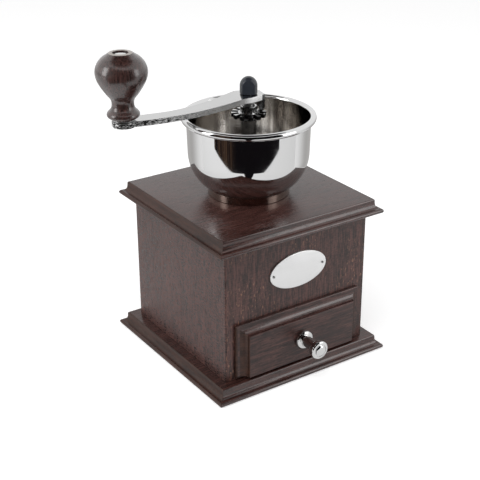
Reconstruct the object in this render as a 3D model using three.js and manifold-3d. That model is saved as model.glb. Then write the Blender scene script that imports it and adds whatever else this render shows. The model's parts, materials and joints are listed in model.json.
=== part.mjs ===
// Hand cranked coffee grinder: a moulded wooden box with a drawer, a steel hopper bowl, conical burrs
// and a crank. Millimetres, +Z up, front towards -Y. The origin is the middle of the base's underside,
// and the spindle stands on the Z axis.

import * as THREE from 'three';
import { mergeVertices } from 'three/addons/utils/BufferGeometryUtils.js';
import Module from 'manifold-3d';

const wasm = await Module();
wasm.setup();

// Fits
const seatGap = 0.3; // between pieces that are seated on or in each other
const runGap = 0.3; // between pieces that move past each other
const mitreGap = 0.15; // across the glued corners of the box
const cutOver = 2; // how far a cutting tool passes beyond what it cuts
const weldDistance = 1e-4; // vertices nearer than this are one

// Box
const bodyWidth = 111;
const bodyHeight = 91.5;
const panelThickness = 11;
const cornerChamfer = 0.9;

// Moulded boards
const boardThickness = 9.6;
const baseLedge = 6;
const topLedge = 2.7;
const mouldingWidth = 5.3;
const noseThickness = 3.1;
const shoulderWidth = 0.9;
const shoulderDrop = 1.5;

// Base screws
const baseScrewRadius = 2;
const baseScrewHeadRadius = 3.9;
const baseScrewHeadHeight = 2.4;
const baseScrewLength = 24;
const baseScrewSpacing = 62;
const baseScrewSink = 0.6;

// Drawer opening, runners and shelf
const railHeight = 4;
const openingHeight = 31.4;
const runnerGuide = 2.5;
const runnerWidth = 8;
const guideHeight = 12;
const shelfThickness = 5;
const shelfClearance = 2.5;
const shelfRim = 13.2;
const funnelFlare = 5;

// Drawer
const drawerFrontOverlap = 7;
const drawerFrontHeight = 37.1;
const drawerFrontThickness = 6.8;
const drawerFrontLift = 2.5;
const drawerMouldingWidth = 6.6;
const drawerEdgeThickness = 2;
const drawerQuirk = 0.8;
const drawerFrontGap = 0.4;
const drawerBackRoom = 3.9;
const drawerBoard = 6;
const drawerFloor = 3;
const drawerFloorLift = 2;

// Drawer knob
const drawerKnobLength = 19.8;
const drawerKnobRadius = 6.4;
const drawerKnobFlange = 3.2;
const drawerKnobNeckRadius = 3.7;
const drawerKnobDisc = 4.4;
const drawerKnobButtonRadius = 3.6;
const drawerKnobButtonHeight = 1.3;
const drawerKnobRound = 0.8;
const drawerScrewRadius = 1.7;
const drawerScrewHeadRadius = 3.4;
const drawerScrewHeadHeight = 2;
const drawerScrewGrip = 7;

// Oval plate and its pins
const plateWidth = 44.2;
const plateHeight = 24.4;
const plateThickness = 1;
const plateBevel = 0.35;
const plateCentreHeight = 65.6;
const pinSpacing = 38.6;
const pinRadius = 0.7;
const pinHeadRadius = 1.15;
const pinHeadHeight = 0.7;
const pinLength = 6;

// Hopper bowl and its foot ring
const footRadius = 27.1;
const footHeight = 4.8;
const footGrooveDepth = 0.5;
const footGrooves = 3;
const bowlWall = 0.9;
const bowlBellyRadius = 28.5;
const bowlFloorRadius = 27.25;
const bowlRadius = 39.8;
const bowlMouthRadius = 40.4;
const bowlRimHeight = 51.5;
const bowlRimBead = 2.15;

// Mill body under the bowl
const throatRadius = 18.6;
const spigotWall = 1.6;
const housingFlangeRadius = 30;
const housingFlangeThickness = 4;
const housingWall = 2.4;
const housingDepth = 35;
const housingBossRadius = 27;
const housingBossDepth = 6.5;
const millScrewCount = 3;
const millScrewCircle = 23.4;
const millScrewRadius = 1.6;
const millScrewHeadRadius = 2.3;
const millScrewHeadHeight = 1.8;

// Bearing spider and column
const spiderRingInset = 1.25;
const spiderThickness = 3;
const spiderArmWidth = 5;
const spiderHubRadius = 7.2;
const spiderHubHeight = 5;
const columnRadius = 4.85;
const columnHeight = 43;
const bushFlangeRadius = 5.65;
const bushFlangeThickness = 1.8;
const bushWall = 0.6;
const bushDepth = 6;

// Burrs
const outerBurrRadius = 21.2;
const outerBurrHeight = 22;
const outerBurrMouthRadius = 15.2;
const outerBurrExitRadius = 17.9;
const innerBurrHeight = 24;
const innerBurrTopRadius = 8.2;
const innerBurrBaseRadius = 17.25;
const burrExitOffset = 1;
const feedToothDepth = 1.9;
const fineToothDepth = 0.75;
const feedTeeth = 6;
const outerFeedTeeth = 12;
const fineTeeth = 24;
const feedTwist = 1.5;
const fineTwist = 0.35;
const toothRiseShare = 0.75; // of a tooth's pitch that rises slowly
const fineEndShare = 0.2; // of the burr's height, up to where the teeth are only fine
const feedStartShare = 0.55; // of the burr's height, from where they are only coarse

// Spindle, wheel and nuts
const shaftRadius = 3.2;
const wheelThreadRadius = 3.8;
const shoulderRadius = 4.4;
const shoulderHeight = 2;
const squareHalf = 2.6;
const burrSquareHalf = 2.2;
const capThreadRadius = 2.4;
const capThreadLength = 6;
const washerThickness = 0.7;
const wheelRadius = 11.35;
const wheelThickness = 2.7;
const wheelHubRadius = 5.4;
const wheelHubHeight = 4.2;
const wheelNotches = 12;
const notchWidth = 2.8;
const notchRootRadius = 6.9;
const threadRunOut = 0.9;
const burrNutRadius = 5;
const burrNutHeight = 4;
const burrThreadRadius = 2;
const burrThreadTail = 2;

// Crank arm
const crankRestAngle = (168 * Math.PI) / 180;
const crankLength = 83;
const armThickness = 3.6;
const armHubTop = 66.5;
const armDrop = 6.8;
const armFlatAtHub = 7;
const armFlatAtKnob = 23;
const armTail = 9.4;
const armShoulderHalf = 9;
const armShoulderAt = 4;
const armWaistHalf = 5.5;
const armWaistAt = 49;
const armNeckHalf = 5.7;
const armEndRadius = 7.5;
const lugThickness = 1.7;
const lugWidth = 2.2;
const lugPlateWidth = 9.2;
const lugPlateLift = 1.2;
const lugCornerCut = 1.5;
const lugReach = 1.6;
const capNutRadius = 5.7;
const capNutHeight = 11.2;
const capNutDomeHeight = 6;
const capNutFlatHalf = 4.1;
const capNutTurn = (68 * Math.PI) / 180; // from the arm to the flats

// Crank knob
const knobHeight = 41.6;
const knobRadius = 16.1;
const knobDishRadius = 4.6;
const knobDishDepth = 1.4;
const axleRadius = 2.6;
const axleHeadRadius = 3.7;
const axleHeadHeight = 0.8;
const axleTailRadius = 4.2;
const axleTailHeight = 1;
const knobWasherRadius = 7;
const knobWasherThickness = 0.6;

// Knob outline: heights as shares of its height, radii as shares of its greatest radius
const knobHeightShares = [0, 0.035, 0.068, 0.105, 0.155, 0.215, 0.3, 0.4, 0.5, 0.6, 0.69, 0.77, 0.85, 0.92, 0.97, 1];
const knobRadiusShares = [0.47, 0.6, 0.635, 0.6, 0.48, 0.43, 0.46, 0.65, 0.82, 0.95, 1, 0.98, 0.89, 0.745, 0.585, 0.45];

// Smoothness
const roundSteps = 36;
const ringSteps = 20;
const smallSteps = 16;
const curveSteps = 4;
const spoolCurveSteps = 2;
const armEdgeSteps = 20;
const burrSteps = 72;
const burrRings = 7;
const knobSteps = 28;
const knobRings = 22;

// Levels that pieces share
const boxBottom = boardThickness;
const boxTop = boxBottom + bodyHeight;
const deckLevel = boxTop + boardThickness;
const bodyHalf = bodyWidth / 2;
const innerHalf = bodyHalf - panelThickness;
const openingWidth = 2 * (innerHalf - runnerGuide);
const openingBottom = boxBottom + railHeight;
const openingTop = openingBottom + openingHeight;
const bowlBottom = deckLevel + footHeight;
const spiderBottom = bowlBottom + bowlWall;
const columnTop = spiderBottom + columnHeight;
const bushTop = columnTop + bushFlangeThickness;
const wheelBottom = bushTop + seatGap + washerThickness + seatGap;
const wheelTop = wheelBottom + wheelThickness;
const armTopAtHub = deckLevel + armHubTop;
const armBottomAtHub = armTopAtHub - armThickness;
const armTopAtKnob = armTopAtHub - armDrop;
const shoulderTop = armBottomAtHub - seatGap;
const burrSeatTop = boxTop - housingFlangeThickness - (housingDepth - outerBurrHeight) / 2;
const outerBurrTop = burrSeatTop - seatGap;
const outerBurrBottom = outerBurrTop - outerBurrHeight;
const innerBurrBottom = outerBurrBottom - burrExitOffset;
const innerBurrTop = innerBurrBottom + innerBurrHeight;

// Materials
const finishes = {
  walnut: { color: 0x3a221b, roughness: 0.42, metalness: 0 },
  plainWood: { color: 0x8a6a48, roughness: 0.65, metalness: 0 },
  chrome: { color: 0xd8d8d6, roughness: 0.12, metalness: 1 },
  steel: { color: 0x9c9c9a, roughness: 0.35, metalness: 1 },
  iron: { color: 0x4b4b4d, roughness: 0.6, metalness: 0.9 },
  bakelite: { color: 0x131314, roughness: 0.25, metalness: 0 },
};

function mesh(name, geometry, finish) {
  const piece = new THREE.Mesh(geometry, new THREE.MeshStandardMaterial(finishes[finish]));
  piece.name = name;
  return piece;
}

// Vertices are shared and collapsed triangles dropped, and a shell that is inside out is turned round
function closedMesh(geometry) {
  const bare = new THREE.BufferGeometry();
  bare.setAttribute('position', geometry.getAttribute('position').clone());
  if (geometry.index) bare.setIndex(geometry.index.clone());
  const merged = mergeVertices(bare, weldDistance);
  const position = merged.getAttribute('position');
  const index = merged.index.array;
  const corners = [0, 1, 2].map(() => new THREE.Vector3());
  const kept = [];
  let volume = 0;
  for (let i = 0; i < index.length; i += 3) {
    const face = [index[i], index[i + 1], index[i + 2]];
    if (new Set(face).size < 3) continue;
    face.forEach((vertex, k) => corners[k].fromBufferAttribute(position, vertex));
    volume += corners[0].dot(corners[1].clone().cross(corners[2]));
    kept.push(face);
  }
  const turned = volume < 0 ? kept.map(([a, b, c]) => [a, c, b]) : kept;
  merged.setIndex(turned.flat());
  merged.computeVertexNormals();
  return merged;
}

function solidOf(geometry) {
  const closed = closedMesh(geometry);
  const vertProperties = new Float32Array(closed.getAttribute('position').array);
  const triVerts = new Uint32Array(closed.index.array);
  return new wasm.Manifold(new wasm.Mesh({ numProp: 3, vertProperties, triVerts }));
}

function geometryOf(solid) {
  const result = solid.getMesh();
  const geometry = new THREE.BufferGeometry();
  geometry.setAttribute('position', new THREE.BufferAttribute(new Float32Array(result.vertProperties), 3));
  geometry.setIndex(new THREE.BufferAttribute(new Uint32Array(result.triVerts), 1));
  geometry.computeVertexNormals();
  return geometry;
}

function cut(geometry, ...tools) {
  return geometryOf(tools.reduce((solid, tool) => solid.subtract(solidOf(tool)), solidOf(geometry)));
}

function join(geometry, ...others) {
  return geometryOf(others.reduce((solid, other) => solid.add(solidOf(other)), solidOf(geometry)));
}

function common(a, b) {
  return geometryOf(solidOf(a).intersect(solidOf(b)));
}

// A profile of [radius, height] pairs or points turned about the Z axis
function turned(profile, steps = roundSteps) {
  const points = profile.map((p) => (Array.isArray(p) ? new THREE.Vector2(...p) : p));
  return closedMesh(new THREE.LatheGeometry(points, steps).rotateX(Math.PI / 2));
}

function rod(radius, low, high, steps = smallSteps) {
  return turned([[0, low], [radius, low], [radius, high], [0, high]], steps);
}

function tube(inner, outer, low, high, steps = roundSteps) {
  return turned([[inner, low], [outer, low], [outer, high], [inner, high], [inner, low]], steps);
}

// A block between two corners
function block(x0, y0, z0, x1, y1, z1) {
  const geometry = new THREE.BoxGeometry(x1 - x0, y1 - y0, z1 - z0);
  return geometry.translate((x0 + x1) / 2, (y0 + y1) / 2, (z0 + z1) / 2);
}

function outline(points) {
  return new THREE.Shape(points.map(([x, y]) => new THREE.Vector2(x, y)));
}

function slab(shape, low, high) {
  const settings = { depth: high - low, bevelEnabled: false, curveSegments: roundSteps };
  return closedMesh(new THREE.ExtrudeGeometry(shape, settings).translate(0, 0, low));
}

// A shape drawn across (x) and up (y), pushed back along +Y from the level where it starts
function frontSlab(shape, start, depth) {
  const geometry = new THREE.ExtrudeGeometry(shape, { depth, bevelEnabled: false, curveSegments: roundSteps });
  return closedMesh(geometry.rotateX(Math.PI / 2).translate(0, start + depth, 0));
}

function baseScrewPlaces() {
  const across = bodyHalf - panelThickness / 2;
  const along = baseScrewSpacing / 2;
  return [[-across, -along], [across, -along], [-across, along], [across, along]];
}

// The moulding is square in plan with mitred corners: a round nose, a cove and a small shoulder
function mouldedBoard(ledge) {
  const flat = bodyHalf + ledge;
  const nose = noseThickness / 2;
  const noseCentre = flat + mouldingWidth - nose;
  const path = new THREE.Path();
  path.moveTo(0, 0);
  path.lineTo(noseCentre, 0);
  path.absarc(noseCentre, nose, nose, -Math.PI / 2, Math.PI / 2, false);
  const shoulder = flat + shoulderWidth;
  path.quadraticCurveTo(shoulder, noseThickness, shoulder, boardThickness - shoulderDrop);
  path.quadraticCurveTo(shoulder, boardThickness, flat, boardThickness);
  path.lineTo(0, boardThickness);
  const points = path.getPoints(curveSteps).map((p) => new THREE.Vector2(p.x * Math.SQRT2, p.y));
  return closedMesh(new THREE.LatheGeometry(points, 4, Math.PI / 4).rotateX(Math.PI / 2));
}

function baseScrewProfile(gap, over) {
  const top = baseScrewSink + baseScrewLength;
  const headTop = baseScrewSink + baseScrewHeadHeight;
  const low = over ? -over : baseScrewSink;
  return [[0, low], [baseScrewHeadRadius + gap, low], [baseScrewHeadRadius + gap, baseScrewSink],
    [baseScrewRadius + gap, headTop], [baseScrewRadius + gap, top + gap], [0, top + gap]];
}

function baseScrew() {
  const low = baseScrewSink;
  const top = low + baseScrewLength;
  return turned([[0, low], [baseScrewHeadRadius, low], [baseScrewRadius, low + baseScrewHeadHeight],
    [baseScrewRadius, top - baseScrewRadius], [0, top]], smallSteps);
}

function baseScrewHoles() {
  return baseScrewPlaces().map(([x, y]) =>
    turned(baseScrewProfile(seatGap, cutOver), smallSteps).translate(x, y, 0));
}

function baseBoard() {
  return cut(mouldedBoard(baseLedge), ...baseScrewHoles());
}

function millScrewPlaces() {
  return Array.from({ length: millScrewCount }, (_, i) => {
    const angle = (2 * Math.PI * i) / millScrewCount + Math.PI / millScrewCount;
    return [millScrewCircle * Math.cos(angle), millScrewCircle * Math.sin(angle)];
  });
}

function millScrewHoles(low, high) {
  return millScrewPlaces().map(([x, y]) => rod(millScrewRadius + seatGap, low, high).translate(x, y, 0));
}

const spigotRadius = throatRadius + spigotWall;

function topBoard() {
  const board = mouldedBoard(topLedge).translate(0, 0, boxTop);
  const low = boxTop - cutOver;
  const high = deckLevel + cutOver;
  return cut(board, rod(spigotRadius + seatGap, low, high, roundSteps), ...millScrewHoles(low, high));
}

// One upright panel, drawn at the front, with its ends cut to meet the next panels at the corners
function uprightPanel() {
  const edge = cornerChamfer / 2;
  const half = (side) => [
    [side * (bodyHalf - cornerChamfer), -bodyHalf],
    [side * (bodyHalf - edge - mitreGap), edge - bodyHalf],
    [side * (innerHalf - mitreGap), -innerHalf],
  ];
  return slab(outline([...half(1), ...half(-1).reverse()]), boxBottom, boxTop);
}

function pinPlaces() {
  return [-pinSpacing / 2, pinSpacing / 2];
}

const plateLevel = boxBottom + plateCentreHeight;
const plateFace = -bodyHalf - plateThickness;

function pinHoles() {
  return pinPlaces().map((x) => {
    const hole = new THREE.CylinderGeometry(pinRadius + seatGap, pinRadius + seatGap, pinLength * 2, smallSteps);
    return hole.translate(x, -bodyHalf, plateLevel);
  });
}

function frontPanel() {
  const opening = block(-openingWidth / 2, -bodyHalf - cutOver, openingBottom,
    openingWidth / 2, -innerHalf + cutOver, openingTop);
  return cut(uprightPanel(), opening, ...pinHoles());
}

function sidePanel(turn) {
  return cut(uprightPanel().rotateZ(turn), ...baseScrewHoles());
}

// Oval plate with rounded edges, flat on the front panel
function namePlate() {
  const oval = new THREE.Shape();
  oval.absellipse(0, 0, plateWidth / 2 - plateBevel, plateHeight / 2 - plateBevel, 0, 2 * Math.PI, false);
  const plate = new THREE.ExtrudeGeometry(oval, {
    depth: plateThickness - 2 * plateBevel, bevelThickness: plateBevel, bevelSize: plateBevel,
    bevelSegments: 1, curveSegments: smallSteps,
  });
  plate.rotateX(Math.PI / 2).translate(0, -bodyHalf - plateBevel, plateLevel);
  return cut(closedMesh(plate), ...pinHoles());
}

function platePin(x) {
  const rear = pinLength - plateThickness;
  const cap = pinHeadHeight;
  const pin = turned([[0, -rear], [pinRadius, -rear], [pinRadius, seatGap], [pinHeadRadius, seatGap],
    [pinHeadRadius * Math.SQRT1_2, seatGap + cap * Math.SQRT1_2], [0, seatGap + cap]], smallSteps);
  return pin.rotateX(Math.PI / 2).translate(x, plateFace, plateLevel);
}

// L shaped strip: its foot carries the drawer's edge and its upright keeps the drawer straight
const drawerHalf = openingWidth / 2 - runGap;
const drawerBottomLevel = openingBottom + runGap;
const drawerTopLevel = openingTop - runGap;

function drawerRunner(side) {
  const guide = drawerHalf + runGap;
  const points = [[innerHalf, boxBottom], [innerHalf, boxBottom + guideHeight], [guide, boxBottom + guideHeight],
    [guide, openingBottom], [innerHalf - runnerWidth, openingBottom], [innerHalf - runnerWidth, boxBottom]];
  const shape = outline(points.map(([x, z]) => [side * (x - seatGap * (x === innerHalf ? 1 : 0)), z]));
  return frontSlab(shape, seatGap - innerHalf, 2 * (innerHalf - seatGap));
}

function groundsShelf() {
  const half = innerHalf - seatGap;
  const low = openingTop + shelfClearance;
  const high = low + shelfThickness;
  const mouth = half - shelfRim;
  const slope = funnelFlare / shelfThickness;
  const funnel = turned([[0, low - cutOver], [mouth - slope * cutOver, low - cutOver],
    [mouth + funnelFlare + slope * cutOver, high + cutOver], [0, high + cutOver]]);
  return cut(block(-half, -half, low, half, half, high), funnel);
}

// Drawer front: its moulding runs along the top and both sides and stops square at the bottom
const drawerRear = -bodyHalf - drawerFrontGap;
const drawerEnd = innerHalf - drawerBackRoom;
const drawerFrontWidth = openingWidth + 2 * drawerFrontOverlap;
const drawerFace = drawerRear - drawerFrontThickness;
const drawerFrontBottom = boxBottom + drawerFrontLift;
const drawerFrontTop = drawerFrontBottom + drawerFrontHeight;
const drawerFaceTop = drawerFrontTop - drawerMouldingWidth;
const drawerKnobLevel = (drawerFrontBottom + drawerFaceTop) / 2;

// The moulding from the edge (0, 0) inwards and forwards, as points of [inset, proud]
function drawerMoulding() {
  const path = new THREE.Path();
  path.moveTo(0, 0);
  path.lineTo(0, drawerEdgeThickness);
  const rise = drawerFrontThickness - drawerQuirk;
  path.quadraticCurveTo(drawerMouldingWidth, drawerEdgeThickness, drawerMouldingWidth, rise);
  path.lineTo(drawerMouldingWidth, drawerFrontThickness);
  return path.getPoints(curveSteps + 1).map((p) => [p.x, p.y]);
}

function drawerFront() {
  const half = drawerFrontWidth / 2;
  const moulding = drawerMoulding();
  const right = moulding.map(([inset, proud]) => [half - inset, drawerRear - proud]);
  const left = moulding.map(([inset, proud]) => [inset - half, drawerRear - proud]).reverse();
  const across = slab(outline([...right, ...left]), drawerFrontBottom, drawerFrontTop);
  const rise = moulding.map(([inset, proud]) => [drawerFrontTop - inset, proud]);
  const side = outline([...rise, [drawerFrontBottom, drawerFrontThickness], [drawerFrontBottom, 0]]
    .map(([z, proud]) => [drawerRear - proud, z]));
  const along = new THREE.ExtrudeGeometry(side, { depth: drawerFrontWidth, bevelEnabled: false });
  along.applyMatrix4(new THREE.Matrix4().makeBasis(
    new THREE.Vector3(0, 1, 0), new THREE.Vector3(0, 0, 1), new THREE.Vector3(1, 0, 0)));
  along.translate(-half, 0, 0);
  return cut(common(across, closedMesh(along)), drawerScrewHole());
}

function drawerScrewHole() {
  const radius = drawerScrewRadius + seatGap;
  const length = drawerFrontThickness + 2 * cutOver;
  const hole = new THREE.CylinderGeometry(radius, radius, length, smallSteps);
  return hole.translate(0, (drawerRear + drawerFace) / 2, drawerKnobLevel);
}

function drawerSide(side) {
  const inner = drawerHalf - drawerBoard;
  const [x0, x1] = side < 0 ? [-drawerHalf, -inner] : [inner, drawerHalf];
  return block(x0, drawerRear, drawerBottomLevel, x1, drawerEnd, drawerTopLevel);
}

function drawerBack() {
  const inner = drawerHalf - drawerBoard;
  return block(-inner, drawerEnd - drawerBoard, drawerBottomLevel, inner, drawerEnd, drawerTopLevel);
}

function drawerBottom() {
  const inner = drawerHalf - drawerBoard;
  const low = drawerBottomLevel + drawerFloorLift;
  return block(-inner, drawerRear, low, inner, drawerEnd - drawerBoard, low + drawerFloor);
}

// Spool with a rear flange, a waist and a thicker front disc that carries a raised button
function drawerKnob() {
  const r = drawerKnobRadius;
  const n = drawerKnobNeckRadius;
  const e = drawerKnobRound;
  const discRear = drawerKnobLength - drawerKnobButtonHeight - drawerKnobDisc;
  const discFront = discRear + drawerKnobDisc;
  const path = new THREE.Path();
  path.moveTo(0, 0);
  path.lineTo(r - e, 0);
  path.quadraticCurveTo(r, 0, r, e);
  path.quadraticCurveTo(r, drawerKnobFlange, n + e, drawerKnobFlange);
  path.quadraticCurveTo(n, drawerKnobFlange, n, drawerKnobFlange + e);
  path.lineTo(n, discRear - e);
  path.quadraticCurveTo(n, discRear, r - e, discRear);
  path.quadraticCurveTo(r, discRear, r, discRear + e);
  path.lineTo(r, discFront - e);
  path.quadraticCurveTo(r, discFront, r - e, discFront);
  path.lineTo(drawerKnobButtonRadius, discFront);
  path.quadraticCurveTo(drawerKnobButtonRadius, drawerKnobLength, 0, drawerKnobLength);
  const knob = closedMesh(new THREE.LatheGeometry(path.getPoints(spoolCurveSteps), ringSteps));
  const grip = drawerScrewGrip + seatGap;
  const bore = new THREE.CylinderGeometry(drawerScrewRadius + seatGap, drawerScrewRadius + seatGap,
    grip + cutOver, smallSteps);
  const bored = cut(knob, bore.translate(0, (grip - cutOver) / 2, 0));
  return bored.rotateX(Math.PI).translate(0, drawerFace - seatGap, drawerKnobLevel);
}

function drawerKnobScrew() {
  const shank = drawerFrontThickness + seatGap * 2 + drawerScrewGrip;
  const screw = closedMesh(new THREE.LatheGeometry([[0, -drawerScrewHeadHeight],
    [drawerScrewHeadRadius, -drawerScrewHeadHeight], [drawerScrewHeadRadius, 0], [drawerScrewRadius, 0],
    [drawerScrewRadius, shank], [0, shank]].map(([x, y]) => new THREE.Vector2(x, y)), smallSteps));
  return screw.rotateX(Math.PI).translate(0, drawerRear + seatGap, drawerKnobLevel);
}

// Grooved ring that lifts the bowl off the top board
function bowlFootRing() {
  const pitch = footHeight / (2 * footGrooves + 1);
  const wall = [[footRadius, deckLevel]];
  for (let i = 0; i < footGrooves; i += 1) {
    const low = deckLevel + pitch * (2 * i + 1);
    wall.push([footRadius, low], [footRadius - footGrooveDepth, low + pitch / 2], [footRadius, low + pitch]);
  }
  wall.push([footRadius, bowlBottom]);
  const inner = spigotRadius + seatGap;
  const ring = turned([[inner, deckLevel], ...wall, [inner, bowlBottom], [inner, deckLevel]]);
  return cut(ring, ...millScrewHoles(deckLevel - cutOver, bowlBottom + cutOver));
}

// Spun bowl: flat bottom, round belly, nearly straight wall and a bead rolled round the rim
function hopperBowl() {
  const centre = bowlRadius - bowlBellyRadius;
  const belly = bowlBottom + Math.sqrt(bowlBellyRadius ** 2 - (bowlFloorRadius - centre) ** 2);
  const rim = deckLevel + bowlRimHeight;
  const bead = bowlMouthRadius - bowlWall + bowlRimBead;
  const swing = (radius, level) => Math.asin((belly - level) / radius);
  const arc = (radius, level) => {
    const end = swing(radius, level);
    return Array.from({ length: curveSteps + 3 }, (_, i) => {
      const angle = (end * i) / (curveSteps + 2);
      return [centre + radius * Math.cos(angle), belly - radius * Math.sin(angle)];
    });
  };
  const bottom = spiderBottom;
  const inner = arc(bowlBellyRadius - bowlWall, bottom).reverse();
  const outer = arc(bowlBellyRadius, bowlBottom);
  const close = Math.acos((bead - bowlMouthRadius) / bowlRimBead);
  const sweep = 2 * Math.PI - close;
  const roll = Array.from({ length: 2 * curveSteps + 1 }, (_, i) => {
    const angle = Math.PI - (sweep * i) / (2 * curveSteps);
    return [bead + bowlRimBead * Math.cos(angle), rim + bowlRimBead * Math.sin(angle)];
  });
  const start = [throatRadius, bottom];
  const bowl = turned([start, ...inner, ...roll, ...outer, [throatRadius, bowlBottom], start]);
  return cut(bowl, ...millScrewHoles(bowlBottom - cutOver, bottom + cutOver));
}

// Ring in the bottom of the bowl, with arms to the hub of the column; beans fall between the arms
function bearingSpider() {
  const ringInner = throatRadius;
  const ringOuter = bowlFloorRadius - spiderRingInset;
  const top = spiderBottom + spiderThickness;
  const column = turned([[0, spiderBottom], [spiderHubRadius, spiderBottom],
    [spiderHubRadius, spiderBottom + spiderHubHeight - (spiderHubRadius - columnRadius)],
    [columnRadius, spiderBottom + spiderHubHeight], [columnRadius, columnTop], [0, columnTop]]);
  const arms = millScrewPlaces().map((_, i) => {
    const angle = (2 * Math.PI * i) / millScrewCount;
    const reach = (ringInner + ringOuter) / 2;
    return block(0, -spiderArmWidth / 2, spiderBottom, reach, spiderArmWidth / 2, top).rotateZ(angle);
  });
  const body = join(tube(ringInner, ringOuter, spiderBottom, top), column, ...arms);
  const bore = rod(shaftRadius + runGap, spiderBottom - cutOver, columnTop + cutOver);
  const pocket = rod(shaftRadius + runGap + bushWall + seatGap / 2, columnTop - bushDepth - seatGap,
    columnTop + cutOver);
  return cut(body, bore, pocket, ...millScrewHoles(spiderBottom - cutOver, top + cutOver));
}

function columnBush() {
  const inner = shaftRadius + runGap;
  const sleeve = inner + bushWall;
  const low = columnTop - bushDepth;
  return turned([[inner, low], [sleeve, low], [sleeve, columnTop], [bushFlangeRadius, columnTop],
    [bushFlangeRadius, bushTop], [inner, bushTop], [inner, low]], ringSteps);
}

// Cast body: a spigot through the top board, a flange and thick boss under it for the screws, and a
// skirt round the outer burr
function burrHousing() {
  const seat = outerBurrRadius + seatGap;
  const skirt = seat + housingWall;
  const bottom = boxTop - housingFlangeThickness - housingDepth;
  const under = boxTop - housingFlangeThickness;
  const top = bowlBottom - seatGap;
  const boss = under - housingBossDepth;
  const body = turned([[seat, bottom], [skirt, bottom], [skirt, boss - (housingBossRadius - skirt)],
    [housingBossRadius, boss], [housingBossRadius, under], [housingFlangeRadius, under],
    [housingFlangeRadius, boxTop], [spigotRadius, boxTop], [spigotRadius, top], [throatRadius, top],
    [throatRadius, burrSeatTop], [seat, burrSeatTop], [seat, bottom]]);
  return cut(body, ...millScrewHoles(boss - cutOver, boxTop + cutOver));
}

function millScrew([x, y]) {
  const head = spiderBottom + spiderThickness + seatGap;
  const low = boxTop - housingFlangeThickness - housingBossDepth + seatGap;
  return turned([[0, low], [millScrewRadius, low], [millScrewRadius, head], [millScrewHeadRadius, head],
    [millScrewHeadRadius, head + millScrewHeadHeight], [0, head + millScrewHeadHeight]], smallSteps)
    .translate(x, y, 0);
}

// Saw tooth of one unit: a slow rise and a steep drop
function sawTooth(turns) {
  const phase = turns - Math.floor(turns);
  return phase < toothRiseShare ? phase / toothRiseShare : (1 - phase) / (1 - toothRiseShare);
}

// Rings of points joined into a closed body; radiusAt(share of height, angle) gives each point
function ringLoft(radiusAt, low, high, rings, steps) {
  const vertices = [0, 0, low, 0, 0, high];
  const faces = [];
  for (let i = 0; i <= rings; i += 1) {
    for (let j = 0; j < steps; j += 1) {
      const angle = (2 * Math.PI * j) / steps;
      const radius = radiusAt(i / rings, angle);
      vertices.push(radius * Math.cos(angle), radius * Math.sin(angle), low + ((high - low) * i) / rings);
    }
  }
  const at = (i, j) => 2 + i * steps + (j % steps);
  for (let j = 0; j < steps; j += 1) {
    faces.push(0, at(0, j + 1), at(0, j), 1, at(rings, j), at(rings, j + 1));
    for (let i = 0; i < rings; i += 1) {
      faces.push(at(i, j), at(i, j + 1), at(i + 1, j + 1), at(i, j), at(i + 1, j + 1), at(i + 1, j));
    }
  }
  const geometry = new THREE.BufferGeometry();
  geometry.setAttribute('position', new THREE.Float32BufferAttribute(vertices, 3));
  geometry.setIndex(faces);
  return geometry;
}

// Share of the feed teeth at a height: full at the mouth, gone where the fine teeth take over
function feedShare(height) {
  return THREE.MathUtils.smoothstep(height, fineEndShare, feedStartShare);
}

// Cone whose coarse helical teeth draw the beans in and whose fine teeth at the base finish them
function innerBurr() {
  const radiusAt = (height, angle) => {
    const tip = THREE.MathUtils.lerp(innerBurrBaseRadius, innerBurrTopRadius, height);
    const turns = angle / (2 * Math.PI);
    const feed = feedToothDepth * feedShare(height) * sawTooth(feedTeeth * turns + feedTwist * height);
    const fine = fineToothDepth * (1 - feedShare(height)) * sawTooth(fineTeeth * turns + fineTwist * height);
    return tip - feed - fine;
  };
  const cone = ringLoft(radiusAt, innerBurrBottom, innerBurrTop, burrRings, burrSteps);
  const hole = burrSquareHalf + seatGap;
  return cut(cone, block(-hole, -hole, innerBurrBottom - cutOver, hole, hole, innerBurrTop + cutOver));
}

function outerBurr() {
  const radiusAt = (height, angle) => {
    const tip = THREE.MathUtils.lerp(outerBurrExitRadius, outerBurrMouthRadius, height);
    const turns = angle / (2 * Math.PI);
    const feed = feedToothDepth * feedShare(height) * sawTooth(outerFeedTeeth * turns - feedTwist * height);
    const fine = fineToothDepth * (1 - feedShare(height)) * sawTooth(fineTeeth * turns - fineTwist * height);
    return tip + feed + fine;
  };
  const core = ringLoft(radiusAt, outerBurrBottom, outerBurrTop, burrRings, burrSteps);
  const below = rod(outerBurrExitRadius, outerBurrBottom - cutOver, outerBurrBottom, burrSteps);
  const above = rod(outerBurrMouthRadius, outerBurrTop, outerBurrTop + cutOver, burrSteps);
  return cut(rod(outerBurrRadius, outerBurrBottom, outerBurrTop, roundSteps), core, below, above);
}

// Shaft with a square for the burr, a thread for the wheel, a shoulder and a square for the arm
const burrNutTop = innerBurrBottom - seatGap;
const burrNutBottom = burrNutTop - burrNutHeight;
const shaftBottom = burrNutBottom - burrThreadTail;
const capNutBottom = armTopAtHub + seatGap;

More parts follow.
